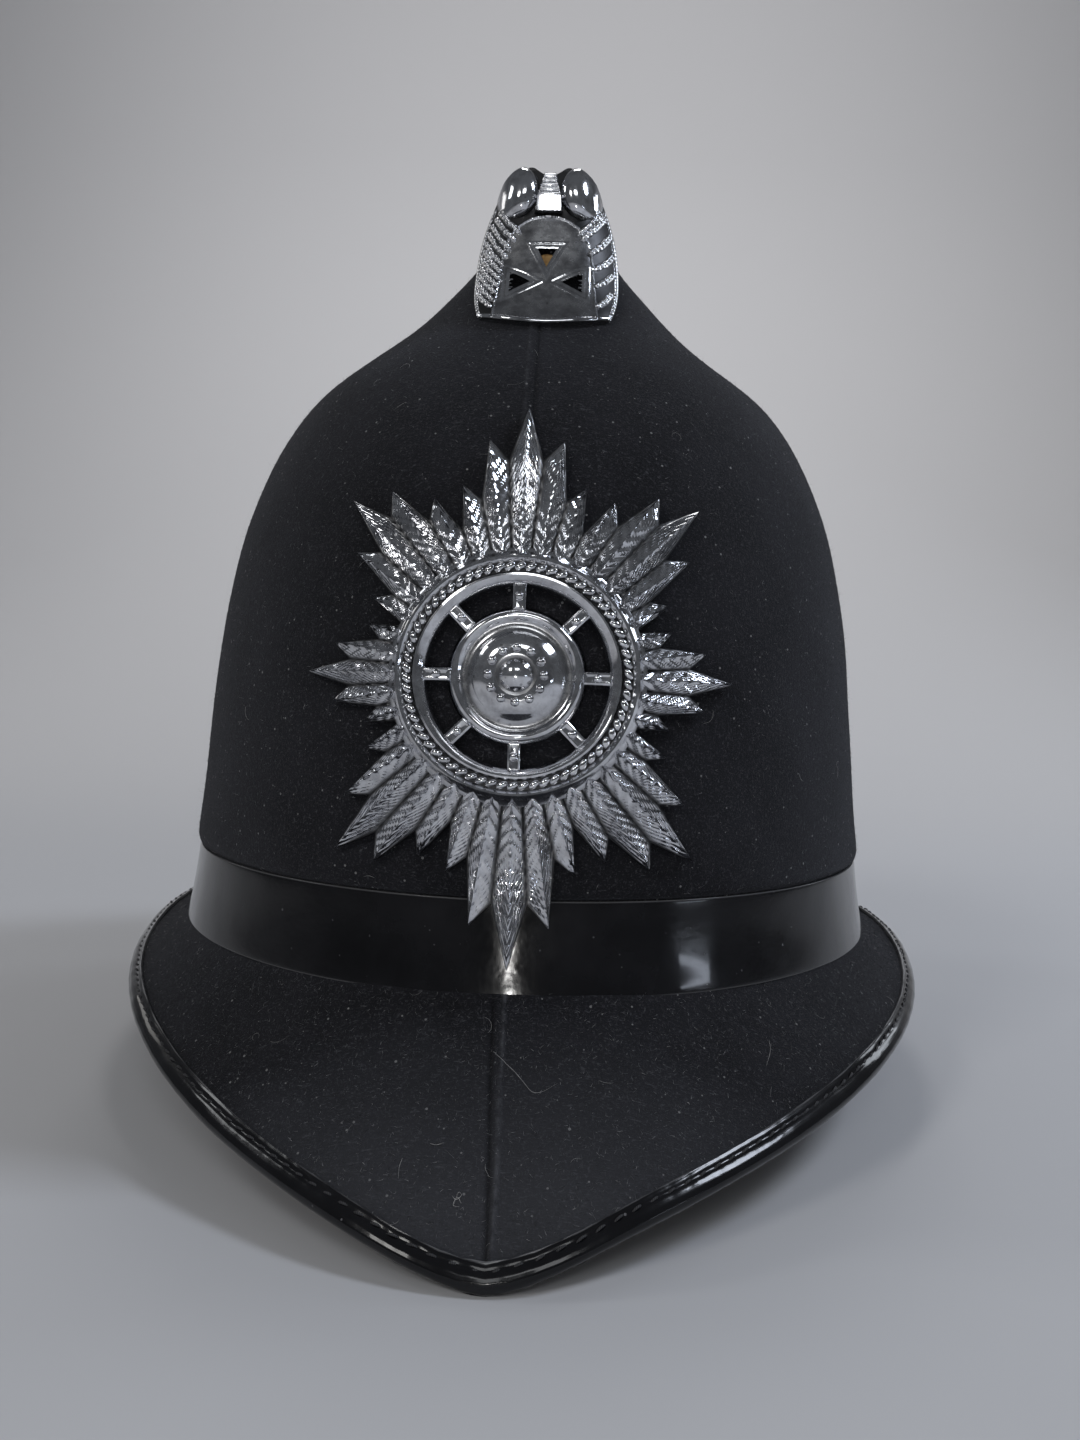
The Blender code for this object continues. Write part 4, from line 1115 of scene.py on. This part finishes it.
def mountRelief(x, y):
    # the sheet's relief, and a signed value for the plating: painted shade above nought, frost with a painted
    # highlight on the cords below
    ax = np.abs(x)
    spring, radius = mountShape["windowSpring"], mountShape["windowRadius"]
    window = np.where(y > spring, np.hypot(x, y - spring) - radius, ax - radius - 0.10 * (spring - y))
    cross = crossRelief(x, y, -0.5 + 0.7 * smoothStep((window + 0.15) / 0.45))
    frame = 0.5 - 7 * (window - 0.35) ** 2
    ribs, lobes, middle = ribRelief(x, y), lobeRelief(ax, y), neckRelief(ax, y)
    edge = mountHalf(y) - ax
    beading = cord(np.abs(edge - mountShape["rimIn"]), y, *mountShape["rimCord"])
    rim = np.where(y < mountShape["neckTop"], beading, 0)
    foot = 0.5 * roundTop(y - 0.6, 0.5)
    height = highest(cross, frame, 0.1 + np.maximum(ribs, rim), foot, lobes, middle)
    bare = (window >= 0.3) & (highest(ribs, rim, foot) <= 0.1)
    raisedShare = np.where(bare, 0, highest(ribs / 0.45, rim / 0.3, (cross + 0.30) / 0.15, foot / 0.3))
    unshaded = smoothStep(highest(raisedShare, frame / 0.4, lobes, middle))
    # painted shade: the bare ground near black, the window's field less so
    dark = np.where(window < 0.1, 0.45, 1.0) * (1 - unshaded)
    flank = (window > 0.2) & (lobes < 0) & (middle <= 0)
    # the flanks' cord crests go below nought: frost with a painted highlight
    return height, dark - smoothStep((ribs - 0.45) / 0.4) * np.where(x < 0, 0.4, 0.35) * flank


def layMount(s, t):
    share = 2 * s - 1
    y = t * smoothTable(topTable, np.abs(share), 4)
    x = share * mountHalf(y)
    return columnsOf(x, y, mountRelief(x, y)[0]) * mm


def armHole(x, y):
    # distance inside the nearest arm's three-sided hole, with the way out of it
    near, far, half = 3.9, 9.1, 2.45
    best = np.full(len(x), -9.0)
    outX, outY = np.zeros(len(x)), np.zeros(len(x))
    run = math.hypot(far - near, half)
    for across, along, turn in ((x, y, 0), (y, -x, 1), (-y, x, 2)):
        sides = [(far - along, (0.0, 1.0))]
        for hand in (-1, 1):
            inside = ((along - near) * half - hand * across * (far - near)) / run
            sides.append((inside, (hand * (far - near) / run, -half / run)))
        values = np.stack([inside for inside, way in sides])
        nearest = values.argmin(axis=0)
        value = values.min(axis=0)
        wayAcross, wayAlong = (np.choose(nearest, [way[k] for inside, way in sides]) for k in (0, 1))
        wayX, wayY = ((wayAcross, wayAlong), (-wayAlong, wayAcross), (wayAlong, -wayAcross))[turn]
        better = value > best
        best = np.where(better, value, best)
        outX, outY = np.where(better, wayX, outX), np.where(better, wayY, outY)
    return best, outX, outY


def pierceMount(sheet):
    # draws the grid's nearest points onto the holes' edges, then clears what lies inside
    coords = meshCoords(sheet)
    centre = mountShape["crossHeight"]
    inside, outX, outY = armHole(coords[:, 0] / mm, coords[:, 1] / mm - centre)
    snap = np.abs(inside) < 0.15
    coords[snap, 0] += (inside * outX)[snap] * mm
    coords[snap, 1] += (inside * outY)[snap] * mm
    setCoords(sheet, coords)
    editFaces(sheet, lambda centres, normals: armHole(centres[:, 0] / mm, centres[:, 1] / mm - centre)[0] > 0,
              lambda: bpy.ops.mesh.delete(type="FACE"))


def placeMount(sheet):
    # lays the flat sheet in front of the comb, its sides wrapped back towards the felt
    tree = treeOf(crownFelt)
    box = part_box("top_mount")
    lean = (box[0].x + box[1].x) / 2
    wall, top = mountShape["wall"], mountShape["top"]

    def crownFront(x, z):
        place = tree.ray_cast(Vector((x, -0.3, z)), Vector((0, 1, 0)))[0]
        return place.y if place and place.y < 0 else 0.0

    rises = np.linspace(0, top, top + 1)
    halves = mountHalf(rises) * mm
    heights = mountShape["foot"] + rises * mm
    faces = np.array([min(crownFront(lean + aside * mm, z) for aside in (-5, -3, 0, 3, 5)) for z in heights])
    curve = np.polyval(np.polyfit(rises[:31], faces[:31], 3), rises)
    straight = mountShape["straightFrom"]
    above = curve[straight] + (rises - straight) * mountShape["leanOut"] * mm
    faces = np.where(rises < straight, curve, above) - mountShape["standoff"] - wall
    seats = np.array([min(crownFront(lean - half, z), crownFront(lean + half, z))
                      for half, z in zip(halves, heights)])
    wraps = mountShape["wrap"] * np.interp(rises / top, [0, 0.64, 0.76, 0.86, 0.935, 1], [1, 1, 0.95, 0.75, 0.4, 0.2])
    rims = np.minimum(faces + wraps, np.maximum(seats - 1.5 * mm, faces + wall))
    rims = np.convolve(np.pad(rims, 3, "edge"), np.ones(7) / 7, "valid")
    coords = meshCoords(sheet)
    rise = np.clip(coords[:, 1] / mm, 0, top)
    share = np.clip(coords[:, 0] / (mountHalf(rise) * mm), -1, 1)
    sag = mountShape["sag"] * (1 - share ** 2) * np.clip(1 - rise / 12, 0, 1)
    face, rim = np.interp(rise, rises, faces), np.interp(rise, rises, rims)
    y = face + (rim - face) * np.abs(share) ** 3 - coords[:, 2]
    setCoords(sheet, columnsOf(lean + coords[:, 0], y, mountShape["foot"] + coords[:, 1] - sag))


def modelMount():
    sheet = gridSheet("combMount", mountShape["columns"], mountShape["rows"], layMount)
    flat = meshCoords(sheet) / mm
    # painted shade on the bare ground, and the cords' painted highlight
    mark(sheet, "paintedShadeAndFrost", mountRelief(flat[:, 0], flat[:, 1])[1])
    pierceMount(sheet)
    modify(sheet, "SOLIDIFY", thickness=mountShape["sheet"], offset=-1)
    placeMount(sheet)
    smoothPiece(sheet, 40)
    return dress(sheet, chrome, "top_mount")


modelMount()
for slot in nodes["mount_stud"].material_slots:
    slot.material = brass
print("comb mount shaped")


# nap: fine fibres lying on the felt, with a few loose hairs

napShape = {
    "crownCount": 38000, "brimCount": 30000, "underCount": 6000, "crownFuzz": 2600, "brimFuzz": 1300,
    "nap": {"length": (0.35, 1.15), "radius": (0.018, 0.042), "lift": (0.05, 0.42)},
    "fuzz": {"length": (1.0, 2.6), "radius": (0.010, 0.018)}, "crownFuzzLift": (0.3, 1.2), "brimFuzzLift": (0.3, 1.0),
    "bandReach": (0.1002, 0.1178),
}


def scatterOn(piece, count, seed, keep):
    # random places on a piece, weighted by keep(centres, normals)
    mesh = piece.data
    mesh.calc_loop_triangles()
    corners = np.empty(len(mesh.loop_triangles) * 3, np.int32)
    mesh.loop_triangles.foreach_get("vertices", corners)
    coords = meshCoords(piece)
    a, b, c = (coords[corners[k::3]] for k in range(3))
    cross = np.cross(b - a, c - a)
    normals = unit(cross)
    weight = np.linalg.norm(cross, axis=1) * keep((a + b + c) / 3, normals)
    dice = np.random.default_rng(seed)
    chosen = dice.choice(len(a), size=count, p=weight / weight.sum())
    u, v = dice.random(count), dice.random(count)
    flip = u + v > 1
    u[flip], v[flip] = 1 - u[flip], 1 - v[flip]
    points = a[chosen] + (b - a)[chosen] * u[:, None] + (c - a)[chosen] * v[:, None]
    return points, normals[chosen], dice


def growNap(name, piece, count, seed, keep, length, radius, lift):
    # one closed four-sided spike for each fibre
    points, normals, dice = scatterOn(piece, count, seed, keep)
    spin = dice.random(count) * 2 * math.pi
    side = unit(np.cross(normals, unit(dice.normal(size=(count, 3)))))
    flat = side * np.cos(spin)[:, None] + np.cross(normals, side) * np.sin(spin)[:, None]
    rise = dice.uniform(*lift, count)[:, None]
    way = unit(flat * np.cos(rise) + normals * np.sin(rise))
    across = unit(np.cross(way, normals))
    above = np.cross(across, way)
    long = dice.uniform(*length, count)[:, None] * mm
    thick = dice.uniform(*radius, count)[:, None] * mm
    base = points + normals * 0.02 * mm
    corners = [base + thick * (across * math.cos(turn) + above * math.sin(turn))
               for turn in (0, 2 * math.pi / 3, 4 * math.pi / 3)]
    vertices = columnsOf(*corners, base + way * long).reshape(-1, 3)
    starts = np.arange(count)[:, None] * 4
    faces = np.concatenate([starts + np.array(face) for face in ((1, 0, 3), (2, 1, 3), (0, 2, 3), (0, 1, 2))])
    nap = meshPiece(name, vertices.tolist(), faces.tolist())
    mark(nap, "shade", np.repeat(dice.random(count) ** 1.6, 4))
    dress(nap, wool)


def crownOutside(centres, normals):
    return (outerFace(centres, normals) & (centres[:, 2] > bandTop + 0.4 * mm)).astype(float)


def brimTop(centres, normals):
    x, y = centres[:, 0] / napShape["bandReach"][0], (centres[:, 1] - axisY) / napShape["bandReach"][1]
    return ((normals[:, 2] > 0.25) & (stripShares(centres, 1)[0] < -0.02) & (x * x + y * y > 1.0)).astype(float)


def brimUnder(centres, normals):
    return ((normals[:, 2] < -0.25) & (stripShares(centres, -1)[0] < -0.02)).astype(float)


def growAll():
    nap, fuzz = napShape["nap"], napShape["fuzz"]
    growNap("crownNap", crownFelt, napShape["crownCount"], 11, crownOutside, **nap)
    growNap("crownFuzz", crownFelt, napShape["crownFuzz"], 12, crownOutside, lift=napShape["crownFuzzLift"], **fuzz)
    growNap("brimNap", brimFelt, napShape["brimCount"], 13, brimTop, **nap)
    growNap("brimFuzz", brimFelt, napShape["brimFuzz"], 14, brimTop, lift=napShape["brimFuzzLift"], **fuzz)
    growNap("brimUnderNap", brimFelt, napShape["underCount"], 15, brimUnder, **nap)


growAll()

hairLook = {"radius": 0.042 * mm, "thinner": (0.4, 0.8), "crownCount": 70, "brimCount": 35, "length": (1.5, 4.5),
            "curl": 0.5, "step": 0.35}
hairLines = [  # loose hairs on the brim, in millimetres
    [(-1.65, -121.1, 30.9), (0.56, -122.7, 29.4), (2.66, -124.1, 28.1), (4.54, -125.7, 26.7), (6.4, -127.2, 25.3),
     (8.4, -127.1, 25.4), (11.25, -125.5, 26.6)],
    [(56.3, -102.7, 29.8), (56.1, -105.3, 28.1), (54.7, -109.0, 26.1)],
    [(-16.9, -137.3, 15.7), (-17.2, -138.7, 14.5), (-17.1, -140.3, 13.2)],
    [(-12.1, -135.3, 17.8), (-10.8, -135.6, 17.7), (-9.5, -135.1, 18.0)],
    [(-7.0, -142.8, 11.7), (-6.2, -143.3, 11.2), (-5.3, -142.7, 11.7), (-5.9, -142.3, 12.0), (-6.5, -143.9, 10.7)],
    [(-5.2, -143.8, 10.8), (-6.0, -143.0, 11.5), (-6.6, -144.1, 10.5), (-5.4, -144.2, 10.4)],
    [(-24.3, -137.2, 14.5), (-23.8, -137.5, 14.2)],
    [(36.8, -122.9, 22.9), (37.3, -123.1, 22.7)],
]


def smoothLine(points, count):
    # a curve through the given points
    points = np.array(points, float)
    ends = np.vstack([2 * points[0] - points[1], points, 2 * points[-1] - points[-2]])
    line = []
    for place in np.linspace(0, len(points) - 1, count):
        k = min(int(place), len(points) - 2)
        u = place - k
        p0, p1, p2, p3 = ends[k:k + 4]
        line.append(0.5 * (2 * p1 + (p2 - p0) * u + (2 * p0 - 5 * p1 + 4 * p2 - p3) * u ** 2
                           + (3 * p1 - p0 - 3 * p2 + p3) * u ** 3))
    return np.array(line)


def drawnHairs():
    # the hairs of the table, laid on the brim
    tree = treeOf(brimFelt)
    strands = []
    for points in hairLines:
        laid = []
        for k, place in enumerate(smoothLine(points, 26) * mm):
            near, normal = tree.find_nearest(Vector(place))[:2]
            laid.append(np.array(near + normal * (0.10 + 0.16 * math.sin(math.pi * k / 25)) * mm))
        strands.append((laid, hairLook["radius"]))
    return strands


def strewnHairs(piece, keep, seed, count):
    # short curled hairs at random places
    points, normals, dice = scatterOn(piece, count, seed, keep)
    tree = treeOf(piece)
    strands = []
    for point, normal in zip(points, normals):
        way = unit(np.cross(normal, dice.normal(size=3)))
        steps = int(dice.uniform(*hairLook["length"]) / hairLook["step"])
        bend = dice.normal() * hairLook["curl"] * hairLook["step"]
        laid, place = [], point
        for k in range(steps + 3):
            near, facing = (np.array(value) for value in tree.find_nearest(Vector(place))[:2])
            laid.append(near + facing * (0.06 + 0.2 * math.sin(math.pi * k / (steps + 2))) * mm)
            way = unit(way - facing * np.dot(way, facing))
            way = unit(way * math.cos(bend) + np.cross(facing, way) * math.sin(bend))
            place = near + way * hairLook["step"] * mm
        strands.append((laid, hairLook["radius"] * dice.uniform(*hairLook["thinner"])))
    return strands


strands = drawnHairs() + strewnHairs(crownFelt, crownOutside, 21, hairLook["crownCount"])
looseHairs = tubePiece("looseHairs", strands + strewnHairs(brimFelt, brimTop, 22, hairLook["brimCount"]))
smoothPiece(looseHairs)
dress(looseHairs, lint)
print("nap and loose hairs laid")


# pale sweep behind and under the helmet

stageLook = {"halfWidth": 4.5, "front": -2.5, "bend": 0.7, "radius": 1.7, "height": 3.8, "steps": 22,
             "colour": (0.63, 0.63, 0.645)}


def makeStage():
    bend, radius, steps = stageLook["bend"], stageLook["radius"], stageLook["steps"]
    profile = [(stageLook["front"], 0.0), (0.0, 0.0)]
    for k in range(steps + 1):
        turn = math.pi / 2 * k / steps
        profile.append((bend + radius * math.sin(turn), radius * (1 - math.cos(turn))))
    profile.append((bend + radius, stageLook["height"]))
    points = [(side * stageLook["halfWidth"], y, z) for y, z in profile for side in (-1, 1)]
    faces = [(2 * k, 2 * k + 1, 2 * k + 3, 2 * k + 2) for k in range(len(profile) - 1)]
    sweep = meshPiece("studioSweep", points, faces)
    smoothPiece(sweep)
    sweep.data.materials.append(newMaterial("stagePaper", Roughness=0.9, Base_Color=stageLook["colour"])[0])


# camera and light

cameraView = {"place": (0.01117, -0.3346, 0.1015), "yaw": 1.547, "pitch": 1.146, "roll": 1.891, "lens": 27.0}
airLook = {"colour": (0.62, 0.65, 0.70), "strength": 0.13}
lightTable = [
    # name, place, aimed at, width, height, watts, spread in degrees, colour
    ("keyPanel", (-0.95, -1.25, 1.15), (0, 0, 0.12), 0.35, 0.35, 4.4, 180, (1.0, 0.985, 0.965)),
    ("lensPanel", (-0.008, -0.44, 0.068), (0, -0.1, 0.10), 0.009, 0.015, 0.075, 180, (1.0, 0.99, 0.97)),
    ("windowPanel", (1.32, -0.80, 0.136), (0, 0, 0.06), 0.28, 0.020, 0.30, 180, (0.78, 0.86, 1.0)),
    ("highWindow", (0.84, -0.10, 1.0), (0, -0.1, 0.05), 0.22, 0.28, 4.4, 180, (0.80, 0.87, 1.0)),
    ("topPanel", (0.0, 0.95, 2.1), (0, 0.05, 0.1), 0.5, 0.4, 4.5, 180, (1.0, 1.0, 1.0)),
    ("frontPanel", (0.20, -1.95, 1.70), (0, 0, 0.08), 0.9, 0.5, 6.0, 180, (0.96, 0.98, 1.0)),
    ("leftPanel", (-1.12, 0.10, 1.0), (0, -0.05, 0.2), 0.24, 0.30, 1.15, 180, (0.96, 0.98, 1.0)),
    ("rightRim", (1.3, 0.9, 0.9), (0, 0, 0.12), 0.4, 0.5, 2.6, 180, (0.86, 0.92, 1.0)),
    ("leftRim", (-1.3, 0.9, 0.9), (0, 0, 0.12), 0.4, 0.5, 0.8, 180, (1.0, 0.98, 0.95)),
    ("wallWash", (0.0, 0.2, 2.6), (0, 2.4, 0.9), 2.2, 0.6, 15.5, 105, (1.0, 0.99, 0.99)),
]


def makeCamera():
    data = bpy.data.cameras.new("camera")
    setValues(data, sensor_width=36.0, lens=cameraView["lens"], clip_start=0.01, clip_end=50)
    camera = linkPiece("camera", data)
    yaw, pitch, roll = (math.radians(cameraView[k]) for k in ("yaw", "pitch", "roll"))
    turn = Matrix.Rotation(yaw, 4, "Z") @ Matrix.Rotation(math.pi / 2 - pitch, 4, "X") @ Matrix.Rotation(roll, 4, "Z")
    camera.matrix_world = Matrix.Translation(cameraView["place"]) @ turn
    scene.camera = camera


def makeLights():
    for name, place, target, width, height, watts, spread, colour in lightTable:
        data = bpy.data.lights.new(name, "AREA")
        setValues(data, shape="RECTANGLE", size=width, size_y=height, energy=watts, spread=math.radians(spread),
                  color=colour)
        light = linkPiece(name, data)
        light.location = place
        light.rotation_euler = (Vector(target) - Vector(place)).to_track_quat("-Z", "Y").to_euler()


def makeAir():
    world = bpy.data.worlds.new("studioAir")
    scene.world = world
    world.use_nodes = True
    feedNode(world.node_tree, world.node_tree.nodes["Background"],
             {"Color": airLook["colour"], "Strength": airLook["strength"]})


makeStage()
makeCamera()
makeLights()
makeAir()
scene.view_settings.view_transform = "Standard"
print("stage, camera and lights set")
